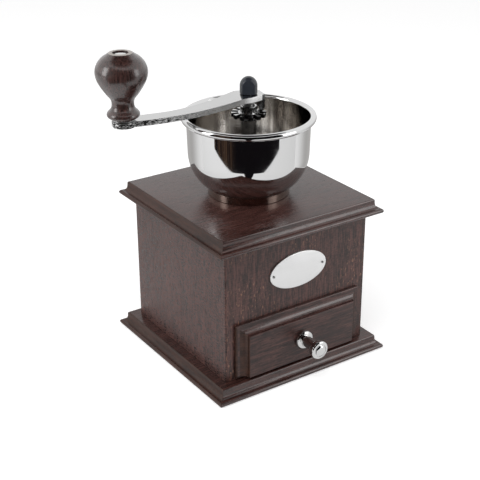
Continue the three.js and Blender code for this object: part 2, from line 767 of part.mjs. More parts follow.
function spindle() {
  const threadLow = wheelBottom + threadRunOut;
  const shoulderLow = shoulderTop - shoulderHeight;
  const stem = turned([[0, innerBurrTop + seatGap], [shaftRadius, innerBurrTop + seatGap],
    [shaftRadius, threadLow], [wheelThreadRadius, threadLow], [wheelThreadRadius, shoulderLow],
    [shoulderRadius, shoulderLow], [shoulderRadius, shoulderTop], [0, shoulderTop]], smallSteps);
  const burrSquare = block(-burrSquareHalf, -burrSquareHalf, innerBurrBottom, burrSquareHalf, burrSquareHalf,
    innerBurrTop + cutOver);
  const tail = rod(burrThreadRadius, shaftBottom, innerBurrBottom + cutOver);
  const armSquare = block(-squareHalf, -squareHalf, shoulderTop - shoulderHeight / 2, squareHalf, squareHalf,
    armTopAtHub);
  const capThread = rod(capThreadRadius, shoulderTop, armTopAtHub + capThreadLength);
  return join(stem, burrSquare, tail, armSquare, capThread);
}

function hexNut(radius, low, high, bore) {
  const nut = new THREE.CylinderGeometry(radius, radius, high - low, 6).rotateX(Math.PI / 2);
  return cut(nut.translate(0, 0, (low + high) / 2), rod(bore, low - cutOver, high + cutOver));
}

function thrustWasher() {
  const low = bushTop + seatGap;
  return tube(wheelThreadRadius + runGap, bushFlangeRadius, low, low + washerThickness, ringSteps);
}

// Notched wheel with a threaded hub; one notch takes the lug of the crank arm
function adjusterWheel() {
  const notch = notchWidth / 2;
  const disc = turned([[0, wheelBottom], [wheelRadius, wheelBottom], [wheelRadius, wheelTop],
    [wheelHubRadius, wheelTop], [wheelHubRadius, wheelTop + wheelHubHeight], [0, wheelTop + wheelHubHeight]]);
  const notches = Array.from({ length: wheelNotches }, (_, i) => {
    const angle = (2 * Math.PI * i) / wheelNotches;
    return block(notchRootRadius, -notch, wheelBottom - cutOver, wheelRadius + cutOver, notch,
      wheelTop + seatGap).rotateZ(angle);
  });
  const bore = rod(wheelThreadRadius + runGap, wheelBottom - cutOver, wheelTop + wheelHubHeight + cutOver);
  return cut(disc, bore, ...notches);
}

// Height of the arm's upper face at a distance from the spindle: level at both ends, bent between
function armTop(distance) {
  const far = crankLength - armFlatAtKnob;
  const share = THREE.MathUtils.clamp((far - distance) / (far - armFlatAtHub), 0, 1);
  return armTopAtKnob + armDrop * share * share;
}

// Seen from the side and from above, the arm is the common part of two slabs
function crankArm() {
  const low = -armTail;
  const high = crankLength + armEndRadius;
  const count = roundSteps / 2;
  const stations = Array.from({ length: count + 1 }, (_, i) => low + ((high - low) * i) / count);
  const upper = stations.map((s) => [s, armTop(s)]);
  const lower = stations.map((s) => [s, armTop(s) - armThickness]).reverse();
  const side = new THREE.ExtrudeGeometry(outline([...upper, ...lower]),
    { depth: 2 * armShoulderHalf + 2 * cutOver, bevelEnabled: false });
  side.rotateX(Math.PI / 2).translate(0, armShoulderHalf + cutOver, 0);

  const edge = new THREE.SplineCurve([
    new THREE.Vector2(-armTail, lugPlateWidth / 2),
    new THREE.Vector2(armShoulderAt, armShoulderHalf),
    new THREE.Vector2(armWaistAt / 2, (armShoulderHalf + armWaistHalf) / 2),
    new THREE.Vector2(armWaistAt, armWaistHalf),
    new THREE.Vector2((armWaistAt + crankLength) / 2, armNeckHalf),
    new THREE.Vector2(crankLength - armEndRadius * Math.SQRT1_2, armEndRadius * Math.SQRT1_2),
  ]).getPoints(armEdgeSteps).map((p) => [p.x, p.y]);
  const strip = outline([...edge, ...edge.map(([x, y]) => [x, -y]).reverse()]);
  const floor = armTopAtKnob - armThickness - cutOver;
  const ceiling = armTopAtHub + cutOver;
  const plan = join(slab(strip, floor, ceiling),
    rod(armEndRadius, floor, ceiling, roundSteps).translate(crankLength, 0, 0));
  const bar = common(closedMesh(side), plan);

  const hole = squareHalf + seatGap;
  const square = block(-hole, -hole, floor, hole, hole, ceiling);
  const pivot = rod(axleRadius + seatGap, floor, ceiling).translate(crankLength, 0, 0);
  return cut(join(bar, crankLug()), square, pivot);
}

// The end behind the spindle is bent down as a plate, with a tongue that drops into a notch
function crankLug() {
  const wide = lugPlateWidth / 2;
  const narrow = lugWidth / 2;
  const top = armTopAtHub - armThickness / 2;
  const waist = wheelTop + lugPlateLift;
  const tip = wheelTop - lugReach;
  const shape = outline([[-wide, top], [-wide, waist + lugCornerCut], [-wide + lugCornerCut, waist],
    [-narrow, waist], [-narrow, tip], [narrow, tip], [narrow, waist], [wide - lugCornerCut, waist],
    [wide, waist + lugCornerCut], [wide, top]]);
  const lug = new THREE.ExtrudeGeometry(shape, { depth: lugThickness, bevelEnabled: false });
  lug.applyMatrix4(new THREE.Matrix4().makeBasis(
    new THREE.Vector3(0, 1, 0), new THREE.Vector3(0, 0, 1), new THREE.Vector3(1, 0, 0)));
  return closedMesh(lug.translate(-armTail, 0, 0));
}

// Dome with two spanner flats, each of which ends in an arch, over a blind threaded hole
function crankCapNut() {
  const top = capNutBottom + capNutHeight;
  const spring = top - capNutDomeHeight;
  const dome = Array.from({ length: curveSteps + 2 }, (_, i) => {
    const angle = (Math.PI * i) / (2 * (curveSteps + 1));
    return [capNutRadius * Math.cos(angle), spring + capNutDomeHeight * Math.sin(angle)];
  });
  const body = turned([[0, capNutBottom], [capNutRadius, capNutBottom], ...dome], roundSteps);
  const reach = capNutRadius + cutOver;
  const flats = block(-capNutFlatHalf, -reach, capNutBottom - cutOver, capNutFlatHalf, reach, top + cutOver);
  const bore = rod(capThreadRadius + seatGap, capNutBottom - cutOver, capNutBottom + capThreadLength + seatGap);
  return cut(common(body, flats.rotateZ(capNutTurn)), bore);
}

const knobBottom = armTopAtKnob + seatGap + knobWasherThickness + seatGap;
const knobTop = knobBottom + knobHeight;
const dishLevel = knobTop - knobDishDepth;

function crankKnob() {
  const stations = knobHeightShares.map((share, i) =>
    new THREE.Vector2(knobRadius * knobRadiusShares[i], knobBottom + knobHeight * share));
  const wall = new THREE.SplineCurve(stations).getPoints(knobRings);
  const bore = axleRadius + runGap;
  const knob = turned([[0, knobBottom], ...wall, [0, knobTop]], knobSteps);
  return cut(knob, rod(bore, knobBottom - cutOver, knobTop + cutOver),
    rod(knobDishRadius, dishLevel, knobTop + cutOver, knobSteps));
}

// Rivet: its head lies in the dish on top of the knob and its tail is set under the arm
function knobAxle() {
  const head = dishLevel + runGap;
  const tail = armTopAtKnob - armThickness - seatGap;
  return turned([[0, tail - axleTailHeight], [axleTailRadius * Math.SQRT1_2, tail - axleTailHeight],
    [axleTailRadius, tail], [axleRadius, tail], [axleRadius, head], [axleHeadRadius, head],
    [axleHeadRadius * Math.SQRT1_2, head + axleHeadHeight], [0, head + axleHeadHeight]], smallSteps);
}

function knobWasher() {
  const low = armTopAtKnob + seatGap;
  return tube(axleRadius + seatGap, knobWasherRadius, low, low + knobWasherThickness, ringSteps);
}

function casing() {
  const group = new THREE.Group();
  group.add(mesh('base_board', baseBoard(), 'walnut'));
  group.add(mesh('top_board', topBoard(), 'walnut'));
  group.add(mesh('front_panel', frontPanel(), 'walnut'));
  group.add(mesh('right_panel', sidePanel(Math.PI / 2), 'walnut'));
  group.add(mesh('back_panel', uprightPanel().rotateZ(Math.PI), 'walnut'));
  group.add(mesh('left_panel', sidePanel(-Math.PI / 2), 'walnut'));
  group.add(mesh('grounds_shelf', groundsShelf(), 'plainWood'));
  group.add(mesh('drawer_runner_left', drawerRunner(-1), 'plainWood'));
  group.add(mesh('drawer_runner_right', drawerRunner(1), 'plainWood'));
  baseScrewPlaces().forEach(([x, y], i) => {
    const screw = mesh(`base_screw_${i + 1}`, baseScrew(), 'steel');
    screw.position.set(x, y, 0);
    group.add(screw);
  });
  group.add(mesh('name_plate', namePlate(), 'steel'));
  const [left, right] = pinPlaces();
  group.add(mesh('plate_pin_left', platePin(left), 'chrome'));
  group.add(mesh('plate_pin_right', platePin(right), 'chrome'));
  return group;
}

function mill() {
  const group = new THREE.Group();
  group.add(mesh('bowl_foot_ring', bowlFootRing(), 'chrome'));
  group.add(mesh('hopper_bowl', hopperBowl(), 'chrome'));
  group.add(mesh('bearing_spider', bearingSpider(), 'steel'));
  group.add(mesh('column_bush', columnBush(), 'steel'));
  group.add(mesh('burr_housing', burrHousing(), 'iron'));
  group.add(mesh('outer_burr', outerBurr(), 'iron'));
  millScrewPlaces().forEach((place, i) => {
    group.add(mesh(`mill_screw_${i + 1}`, millScrew(place), 'steel'));
  });
  return group;
}

function drawer() {
  const group = new THREE.Group();
  group.add(mesh('drawer_front', drawerFront(), 'walnut'));
  group.add(mesh('drawer_left', drawerSide(-1), 'plainWood'));
  group.add(mesh('drawer_right', drawerSide(1), 'plainWood'));
  group.add(mesh('drawer_back', drawerBack(), 'plainWood'));
  group.add(mesh('drawer_bottom', drawerBottom(), 'plainWood'));
  group.add(mesh('drawer_knob', drawerKnob(), 'chrome'));
  group.add(mesh('drawer_knob_screw', drawerKnobScrew(), 'steel'));
  return group;
}

// Everything that turns with the crank, drawn with the arm along +X and turned to where it rests
function crank() {
  const group = new THREE.Group();
  group.add(mesh('thrust_washer', thrustWasher(), 'steel'));
  const wheel = mesh('adjuster_wheel', adjusterWheel(), 'steel');
  group.add(wheel);
  group.add(mesh('spindle', spindle(), 'steel'));
  group.add(mesh('inner_burr', innerBurr(), 'iron'));
  group.add(mesh('burr_nut', hexNut(burrNutRadius, burrNutBottom, burrNutTop, burrThreadRadius + seatGap), 'steel'));
  group.add(mesh('crank_arm', crankArm(), 'chrome'));
  group.add(mesh('crank_cap_nut', crankCapNut(), 'bakelite'));
  const handle = new THREE.Group();
  handle.position.x = crankLength;
  handle.add(mesh('knob_washer', knobWasher(), 'steel'));
  handle.add(mesh('knob_axle', knobAxle(), 'chrome'));
  handle.add(mesh('crank_knob', crankKnob(), 'walnut'));
  group.add(handle);
  group.rotation.z = crankRestAngle;
  return group;
}

const group = new THREE.Group();
group.add(casing(), mill(), drawer(), crank());

export default group;
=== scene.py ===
import json
import math

import bmesh
import bpy
from mathutils import Matrix, Quaternion, Vector


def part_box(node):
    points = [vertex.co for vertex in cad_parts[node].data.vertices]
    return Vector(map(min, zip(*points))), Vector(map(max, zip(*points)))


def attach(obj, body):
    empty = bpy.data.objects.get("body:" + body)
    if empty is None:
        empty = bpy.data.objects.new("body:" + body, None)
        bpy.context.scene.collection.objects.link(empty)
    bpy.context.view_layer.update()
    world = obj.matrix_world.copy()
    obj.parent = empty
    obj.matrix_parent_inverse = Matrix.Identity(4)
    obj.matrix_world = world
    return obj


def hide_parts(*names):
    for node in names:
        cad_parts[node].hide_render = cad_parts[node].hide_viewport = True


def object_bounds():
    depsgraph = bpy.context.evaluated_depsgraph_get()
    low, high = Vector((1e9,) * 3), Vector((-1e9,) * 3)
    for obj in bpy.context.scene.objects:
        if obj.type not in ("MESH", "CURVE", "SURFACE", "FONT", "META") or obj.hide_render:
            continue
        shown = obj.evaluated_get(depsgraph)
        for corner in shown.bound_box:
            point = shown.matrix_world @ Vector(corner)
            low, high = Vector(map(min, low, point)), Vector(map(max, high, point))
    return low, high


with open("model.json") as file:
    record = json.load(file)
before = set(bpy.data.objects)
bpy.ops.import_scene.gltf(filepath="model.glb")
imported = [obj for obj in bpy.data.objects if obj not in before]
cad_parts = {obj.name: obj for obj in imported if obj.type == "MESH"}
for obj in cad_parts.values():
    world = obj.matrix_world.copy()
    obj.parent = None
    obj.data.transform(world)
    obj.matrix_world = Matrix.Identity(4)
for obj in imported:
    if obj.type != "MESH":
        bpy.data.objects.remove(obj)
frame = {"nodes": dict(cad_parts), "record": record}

cadLow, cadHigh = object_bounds()
mm = 0.001        # in metres: shapes and grain are given in millimetres
weld = 0.001      # corners nearer than this, in millimetres, are one
past = 2          # how far a cutter reaches beyond what it cuts
bodyOfNode = {
    node: body
    for body, nodes in frame["record"]["behaviour"]["bodies"].items()
    for node in nodes
}
print("frame loaded:", len(bodyOfNode), "nodes")


# Shader maths: a wire is an output socket, and plain expressions on wires add the nodes

class Wire:
    def __init__(self, nodes, socket):
        self.nodes = nodes
        self.socket = socket

    def maths(self, operation, first, second):
        return self.nodes.node("ShaderNodeMath", {"operation": operation}, {0: first, 1: second})

    def __add__(self, other):
        return self.maths("ADD", self, other)

    __radd__ = __add__

    def __sub__(self, other):
        return self.maths("SUBTRACT", self, other)

    def __rsub__(self, other):
        return self.maths("SUBTRACT", other, self)

    def __mul__(self, other):
        return self.maths("MULTIPLY", self, other)

    __rmul__ = __mul__


class NodeTree:
    def __init__(self, tree):
        self.tree = tree

    def feed(self, socket, value):
        if isinstance(value, Wire):
            self.tree.links.new(value.socket, socket)
        else:
            socket.default_value = value

    # Any node: its settings first, then the values or links of its sockets
    def node(self, kind, settings=None, inputs=None, output=0):
        made = self.tree.nodes.new(kind)
        for key, value in (settings or {}).items():
            setattr(made, key, value)
        for key, value in (inputs or {}).items():
            self.feed(made.inputs[key], value)
        return Wire(self, made.outputs[output])

    def mix(self, factor, first, second):
        return self.node("ShaderNodeMix", {"data_type": "RGBA"}, {0: factor, 6: first, 7: second}, 2)

    def here(self):
        return self.node("ShaderNodeTexCoord", output="Object")

    def part(self, axis):
        return self.node("ShaderNodeSeparateXYZ", None, {0: self.here()}, axis)

    # Object coordinates in units of the given sizes along x, y and z, in millimetres
    def place(self, sizes, offset=0.0):
        scale = [1 / (size * mm) for size in sizes]
        return self.node("ShaderNodeMapping", None, {
            "Vector": self.here(), "Location": (offset, offset, offset), "Scale": scale})

    def noise(self, sizes, detail=2.0, roughness=0.5, offset=0.0):
        place = self.place(sizes, offset)
        return self.node("ShaderNodeTexNoise", None, {
            "Vector": place, "Scale": 1.0, "Detail": detail, "Roughness": roughness}, "Fac")

    # 0 below the low value, 1 above the high one
    def step(self, value, low, high):
        return self.node("ShaderNodeMapRange", {"interpolation_type": "SMOOTHSTEP"},
                         {"Value": value, "From Min": low, "From Max": high})

    # Shares of the light path: what the camera sees, and what metal and glass see
    def seen(self):
        path = self.tree.nodes.new("ShaderNodeLightPath").outputs
        camera, glossy, through = (Wire(self, path[name]) for name in
                                   ("Is Camera Ray", "Is Glossy Ray", "Is Transmission Ray"))
        return camera, glossy.maths("MAXIMUM", glossy, through)


class Finish(NodeTree):
    # One material: its Principled shader and the nodes that feed it
    def __init__(self, name, sockets):
        self.material = bpy.data.materials.new(name)
        self.material.use_nodes = True
        super().__init__(self.material.node_tree)
        self.shader = self.tree.nodes["Principled BSDF"]
        self.feedShader(sockets)

    def feedShader(self, sockets):
        for name, value in sockets.items():
            self.feed(self.shader.inputs[name], value)

    # The last of a finish: its colour, its roughness and the height that bumps it
    def done(self, colour, roughness, height, strength, depth):
        normal = self.node("ShaderNodeBump", None, {
            "Height": height, "Strength": strength, "Distance": depth * mm})
        self.feedShader({"Base Color": colour, "Roughness": roughness, "Normal": normal})
        return self.material


# Wood: stained beech under lacquer. Grain sizes are (across, along), colours are linear, and a range
# is the stretch of a noise that goes from none to all

wood = dict(
    dark=(0.0165, 0.0072, 0.006, 1), light=(0.088, 0.0365, 0.0305, 1), fleck=(0.25, 0.125, 0.08, 1),
    pore=(0.006, 0.0027, 0.0022, 1), endDark=(0.01, 0.0046, 0.0034, 1), endLight=(0.062, 0.027, 0.018, 1),
    cloud=(30, 120), band=(4.2, 130), line=(1.15, 17), fine=(0.55, 7), poreSize=(0.7, 6),
    fleckSize=(0.8, 3.2), fleckZone=(24, 36), weave=(2.8, 0.9), cloudShare=0.5, bandShare=0.4,
    lineShare=1.4, fineShare=0.7, darkTone=0.1, poreRange=(0.58, 0.7), poreShare=0.6, poreDepth=0.03,
    fleckRange=(0.62, 0.74), zoneRange=(0.42, 0.62), coatRoughness=0.2, coatIor=1.6, endRings=(8, 30, 3),
    endSpeck=(8, 1.3, 1.3), endRange=(0.35, 0.95),
)
beech = dict(dark=(0.33, 0.2, 0.105, 1), light=(0.5, 0.34, 0.19, 1), band=(3.5, 120), fine=(0.5, 9),
             range=(0.35, 0.85), roughness=0.6, depth=0.1)


def grainSizes(sizes, axis):
    across, along = sizes
    return [along if name == axis else across for name in "xyz"]


# Flecks, lines and weave are shares: pale rays, long grain and the fine ripple across it.
# The higher the tone that counts as light, the darker the wood. The coat is a second lacquer
def stainedWood(name, axis, roughness, flecks, lines, weave, light=0.95, coat=0):
    finish = Finish(name, {"IOR": 1.5, "Coat Weight": coat, "Coat Roughness": wood["coatRoughness"],
                           "Coat IOR": wood["coatIor"]})

    def grain(part, detail, soft=0.5, offset=0.0):
        return finish.noise(grainSizes(wood[part], axis), detail, soft, offset)

    cloud, band = grain("cloud", 2), grain("band", 3, offset=2.0)
    line, fine = grain("line", 3, 0.6, offset=5.0), grain("fine", 2, offset=7.0)
    ripple = grain("weave", 2, 0.6, offset=13.0)
    tone = 0.5 + (cloud - 0.5) * wood["cloudShare"] + (band - 0.5) * (wood["bandShare"] * lines)
    tone = tone + (line - 0.5) * (wood["lineShare"] * lines) + (fine - 0.5) * (wood["fineShare"] * lines)
    tone = tone + (ripple - 0.5) * weave
    colour = finish.mix(finish.step(tone, wood["darkTone"], light), wood["dark"], wood["light"])
    pores = finish.step(grain("poreSize", 1, offset=11.0), *wood["poreRange"])
    colour = finish.mix(pores * (wood["poreShare"] * lines), colour, wood["pore"])
    spots = finish.step(grain("fleckSize", 1, offset=15.0), *wood["fleckRange"])
    zones = finish.step(grain("fleckZone", 1, offset=19.0), *wood["zoneRange"])
    colour = finish.mix(spots * zones * flecks, colour, wood["fleck"])
    rough = roughness + (line - 0.5) * 0.25 + (ripple - 0.5) * (0.3 * weave) + pores * 0.1
    height = line * 0.4 + fine * 0.3 + ripple * weave - pores
    return finish.done(colour, rough, height, 0.5, wood["poreDepth"] * (1 + weave))


# End grain takes more stain: fine speckle and soft rings, duller than the long grain
def endWood(name, roughness):
    finish = Finish(name, {"IOR": 1.4})
    rings = finish.noise(wood["endRings"], 2, offset=3.0)
    speck = finish.noise(wood["endSpeck"], 3, 0.7, offset=9.0)
    tone = finish.step(rings * 0.6 + speck * 0.7, *wood["endRange"])
    colour = finish.mix(tone, wood["endDark"], wood["endLight"])
    return finish.done(colour, roughness + (speck - 0.5) * 0.3, speck, 0.4, wood["poreDepth"])


def plainWood(name, axis):
    finish = Finish(name, {"IOR": 1.4})
    band = finish.noise(grainSizes(beech["band"], axis), 3, 0.6)
    fine = finish.noise(grainSizes(beech["fine"], axis), 2, offset=4.0)
    tone = finish.step(band * 0.7 + fine * 0.5, *beech["range"])
    colour = finish.mix(tone, beech["dark"], beech["light"])
    return finish.done(colour, beech["roughness"] + (fine - 0.5) * 0.3, fine, 0.3, beech["depth"])


# Metal: sizes along x, y and z of what varies on each finish

metal = dict(
    smudge=(14, 14, 14), smudgeRange=(0.45, 0.8), streaks=(9, 9, 500), paintedStreakRange=(0.35, 0.68),
    ringWidth=400, ringCloud=(18, 18, 30), castCloud=(9, 9, 9), castDark=0.75, dash=(2.1, 2.1, 0.49),
    tornRange=(0.49, 0.6), cleanShare=0.2, tornRoughness=0.42, tornDepth=0.1, brush=(30, 400, 0.2),
    brushDark=0.88, brushDepth=0.02,
)


def grey(level):
    return (level, level, level, 1)


def polishedMetal(name, level, roughness, smudge=0.04):
    finish = Finish(name, {"Metallic": 1.0, "Base Color": grey(level)})
    cloud = finish.step(finish.noise(metal["smudge"], 3), *metal["smudgeRange"])
    finish.feedShader({"Roughness": roughness + cloud * smudge})
    return finish.material


# Spun metal has fine rings round the spindle's axis, so its reflections smear up and down. Its colour also
# runs in upright streaks from dark to light: painted reflection bands
def spunMetal(name, dark, light, roughness, ringSize, depth):
    finish = Finish(name, {"Metallic": 1.0})
    streaks = finish.step(finish.noise(metal["streaks"], 3, 0.6, offset=1.5), *metal["paintedStreakRange"])
    rings = finish.noise((metal["ringWidth"], metal["ringWidth"], ringSize), 3, 0.7)
    cloud = finish.noise(metal["ringCloud"], 2, offset=3.0)
    return finish.done(finish.mix(streaks, dark, light), roughness + (cloud - 0.5) * 0.08, rings, 0.5, depth)


def castMetal(name, level, roughness, grain, depth):
    finish = Finish(name, {"Metallic": 1.0})
    lumps = finish.noise((grain, grain, grain), 3, 0.6)
    cloud = finish.noise(metal["castCloud"], 2, offset=6.0)
    shade = finish.mix(cloud, grey(level * metal["castDark"]), grey(level))
    return finish.done(shade, roughness + (lumps - 0.5) * 0.2, lumps, 0.5, depth)


# Edge that a press has sheared: torn dark dashes, which also stand for painted dark reflections, thin out from
# the one place in x to the other
def shearedMetal(name, bright, tornAndDarkReflection, start, end):
    finish = Finish(name, {"Metallic": 1.0})
    clean = finish.step(finish.part("X"), start * mm, end * mm)
    patches = finish.noise(metal["dash"], 2, 0.7) + clean * metal["cleanShare"]
    patches = finish.step(patches, *metal["tornRange"])
    colour = finish.mix(patches, grey(tornAndDarkReflection), grey(bright))
    return finish.done(colour, metal["tornRoughness"], patches, 0.5, metal["tornDepth"])


def mouldedPlastic(name, colour, roughness):
    finish = Finish(name, {"IOR": 1.5})
    ripple = finish.noise((3, 3, 3), 2)
    shade = finish.mix(ripple, colour, [part * 0.7 for part in colour[:3]] + [1])
    return finish.done(shade, roughness + (ripple - 0.5) * 0.1, ripple, 0.2, 0.05)


# Rolled sheet with faint lengthwise brush marks
def brushedPlate(name, level, roughness):
    finish = Finish(name, {"Metallic": 1.0})
    brush = finish.noise(metal["brush"], 2)
    cloud = finish.noise(metal["castCloud"], 3, offset=2.0)
    shade = finish.mix(brush * 0.5 + cloud * 0.5, grey(level * metal["brushDark"]), grey(level))
    return finish.done(shade, roughness + (cloud - 0.5) * 0.15, brush, 0.25, metal["brushDepth"])


woodBoard = stainedWood("lacqueredBoard", "x", roughness=0.22, flecks=0.05, lines=0.7, weave=0.2)
woodMoulding = stainedWood("lacqueredMoulding", "x", roughness=0.18, flecks=0.05, lines=0.9, weave=0.2,
                           light=1.05, coat=0.3)
woodEnd = endWood("lacqueredEndGrain", roughness=0.45)
woodPanel = stainedWood("lacqueredPanel", "z", roughness=0.36, flecks=0.8, lines=1.3, weave=1.0, light=0.9)
woodSide = stainedWood("lacqueredSide", "z", roughness=0.38, flecks=0.25, lines=1.1, weave=3.2)
woodDrawer = stainedWood("lacqueredDrawer", "x", roughness=0.4, flecks=0.1, lines=1.4, weave=0.4, light=1.15)
woodKnob = stainedWood("lacqueredKnob", "z", roughness=0.3, flecks=0, lines=1.2, weave=0,
                       light=1.3, coat=0.75)
# The knob's flat top land is pale: a painted sheen for the white it mirrors at a grazing view
knobLand = mouldedPlastic("knobLand", (0.4, 0.36, 0.33, 1), roughness=0.3)
beechAcross = plainWood("beechAcross", "x")
beechDeep = plainWood("beechDeep", "y")
chrome = polishedMetal("chrome", 0.69, roughness=0.04)
# The foot ring's brown tint is a painted reflection of the dark board it stands on
footChromePaintedBoardReflection = spunMetal("footChromePaintedBoardReflection", (0.3, 0.22, 0.19, 1), (0.4, 0.3, 0.26, 1), roughness=0.15,
                       ringSize=0.5, depth=0.004)
armChrome = polishedMetal("armChrome", 0.58, roughness=0.07)
# The dark dashes grow towards the knob: a sheared texture and a painted reflection of the dark there
armEdge = shearedMetal("armEdge", 0.9, 0.03, start=-80, end=-8)
# Inside the bowl the streaks go from near black to near white: painted reflection bands
bowlInsidePaintedStreaks = spunMetal("bowlInsidePaintedStreaks", (0.32, 0.3, 0.28, 1), (0.95, 0.93, 0.9, 1), roughness=0.08,
                       ringSize=0.4, depth=0.07)
steel = polishedMetal("platedSteel", 0.5, roughness=0.28, smudge=0.1)
columnSteel = polishedMetal("columnSteel", 0.62, roughness=0.12, smudge=0.05)
hubSteel = polishedMetal("hubSteel", 0.5, roughness=0.12, smudge=0.1)
# The lug is painted near black: painted shade for the dark it reflects
lugSteelPaintedShade = polishedMetal("lugSteelPaintedShade", 0.1, roughness=0.2, smudge=0.1)
# Wheel tops and tooth sides are painted dark: painted shade for the dark they reflect, the sides on a rough
# cast grain
wheelTopPaintedShade = polishedMetal("wheelTopPaintedShade", 0.24, roughness=0.2, smudge=0.1)
wheelEdgePaintedShade = castMetal("wheelEdgePaintedShade", 0.02, roughness=0.45, grain=0.6, depth=0.04)
iron = castMetal("castIron", 0.12, roughness=0.5, grain=0.5, depth=0.08)
plateMetal = brushedPlate("plateMetal", 0.86, roughness=0.34)
nutPlastic = mouldedPlastic("bluishBlack", (0.03, 0.034, 0.043, 1), roughness=0.13)
print("materials made:", len(bpy.data.materials))


# Modelling helpers. Shapes are drawn in millimetres, and a piece brings them to metres

def placed(name, data):
    made = bpy.data.objects.new(name, data)
    bpy.context.scene.collection.objects.link(made)
    return made


def meshed(name, shape):
    mesh = bpy.data.meshes.new(name)
    shape.to_mesh(mesh)
    shape.free()
    return placed(name, mesh)


def scaled(shape, factor):
    bmesh.ops.scale(shape, verts=shape.verts, vec=(factor, factor, factor))
    return shape


# A piece is named after its first node, such as baseBoard for base_board
def titled(node):
    first, *rest = node.split("_")
    return first + "".join(word.title() for word in rest)


def piece(shape, material, nodes, sharp=32, bevel=None, segments=2, name=None):
    made = meshed(name or titled(nodes[0]), scaled(shape, mm))
    for each in material if isinstance(material, list) else [material]:
        made.data.materials.append(each)
    made.data.shade_smooth()
    made.data.set_sharp_from_angle(angle=math.radians(sharp))
    if bevel:
        soften = made.modifiers.new("edges", "BEVEL")
        soften.width = bevel * mm
        soften.segments = segments
        soften.limit_method = "ANGLE"
        soften.angle_limit = math.radians(30)
        soften.harden_normals = True
    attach(made, bodyOfNode[nodes[0]])
    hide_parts(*nodes)


def span(node):
    low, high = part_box(node)
    return low / mm, high / mm


def middle(node):
    low, high = span(node)
    return (low + high) / 2


def tidy(shape):
    bmesh.ops.remove_doubles(shape, verts=shape.verts, dist=weld)
    bmesh.ops.recalc_face_normals(shape, faces=shape.faces)
    return shape


def ring(shape, points, closed=True):
    corners = [shape.verts.new(point) for point in points]
    edges = [shape.edges.new(pair) for pair in zip(corners, corners[1:])]
    if closed:
        edges.append(shape.edges.new((corners[-1], corners[0])))
    return corners, edges


# Points on an arc, angles in degrees
def arc(centre, radius, start, end, steps):
    found = []
    for i in range(steps + 1):
        angle = math.radians(start + (end - start) * i / steps)
        found.append((centre[0] + radius * math.cos(angle), centre[1] + radius * math.sin(angle)))
    return found


# Points on the curve that leaves one point for the next and turns to the third
def bend(start, corner, end, steps):
    start, corner, end = Vector(start), Vector(corner), Vector(end)
    shares = [i / steps for i in range(steps + 1)]
    return [tuple(start * (1 - t) ** 2 + corner * (2 * t * (1 - t)) + end * t * t) for t in shares]


# A line with round corners: each corner is (x, y) or (x, y, radius)
def rounded(corners, steps=4):
    found = []
    for i, corner in enumerate(corners):
        here = Vector(corner[:2])
        if len(corner) == 2:
            found.append(tuple(here))
            continue
        back = (Vector(corners[i - 1][:2]) - here).normalized()
        ahead = (Vector(corners[(i + 1) % len(corners)][:2]) - here).normalized()
        half = back.angle(ahead) / 2
        centre = here + (back + ahead).normalized() * (corner[2] / math.sin(half))
        start = here + back * (corner[2] / math.tan(half)) - centre
        end = here + ahead * (corner[2] / math.tan(half)) - centre
        found += [tuple(centre + start.slerp(end, k / steps) * corner[2]) for k in range(steps + 1)]
    return found


# A smooth line through a few stations
def smooth(stations, steps):
    points = [Vector(station) for station in stations]
    points = [points[0], *points, points[-1]]
    found = []
    for a, b, c, d in zip(points, points[1:], points[2:], points[3:]):
        for k in range(steps):
            t = k / steps
            found.append(tuple(0.5 * (b * 2 + (c - a) * t + (a * 2 - b * 5 + c * 4 - d) * t ** 2
                                      + (b * 3 - a - c * 3 + d) * t ** 3)))
    return found + [tuple(points[-1])]


# A profile of (radius, height) turned about the Z axis; a closed one makes a hollow body
def lathe(profile, steps=128, closed=False):
    shape = bmesh.new()
    corners, edges = ring(shape, [(radius, 0, height) for radius, height in profile], closed)
    bmesh.ops.spin(shape, geom=corners + edges, cent=(0, 0, 0), axis=(0, 0, 1), angle=2 * math.pi,
                   steps=steps, use_merge=True)
    return tidy(shape)


def slab(outline, low, high):
    shape = bmesh.new()
    corners, _ = ring(shape, [(x, y, low) for x, y in outline])
    face = shape.faces.new(corners)
    grown = bmesh.ops.extrude_face_region(shape, geom=[face])
    fresh = [part for part in grown["geom"] if isinstance(part, bmesh.types.BMVert)]
    bmesh.ops.translate(shape, verts=fresh, vec=(0, 0, high - low))
    return tidy(shape)


# Loops of as many points each, joined one to the next and closed at both ends
def stacked(loops):
    shape = bmesh.new()
    rings = [ring(shape, points) for points in loops]
    for (_, one), (_, other) in zip(rings, rings[1:]):
        bmesh.ops.bridge_loops(shape, edges=one + other)
    for corners, _ in (rings[0], rings[-1]):
        shape.faces.new(corners)
    return tidy(shape)


def box(low, high):
    shape = bmesh.new()
    bmesh.ops.create_cube(shape, size=1)
    size = Vector(high) - Vector(low)
    bmesh.ops.scale(shape, verts=shape.verts, vec=size)
    return moved(shape, (Vector(low) + Vector(high)) / 2)


def moved(shape, place):
    bmesh.ops.translate(shape, verts=shape.verts, vec=place)
    return shape


def turned(shape, degrees, axis="Z"):
    matrix = Matrix.Rotation(math.radians(degrees), 3, axis)
    bmesh.ops.rotate(shape, verts=shape.verts, cent=(0, 0, 0), matrix=matrix)
    return shape


# What lies beyond a plane is cut off, and the cut is closed
def trimmed(shape, place, normal):
    geom = shape.verts[:] + shape.edges[:] + shape.faces[:]
    made = bmesh.ops.bisect_plane(shape, geom=geom, plane_co=place, plane_no=normal, clear_outer=True)
    edges = [part for part in made["geom_cut"] if isinstance(part, bmesh.types.BMEdge)]
    bmesh.ops.edgeloop_fill(shape, edges=edges)
    return tidy(shape)


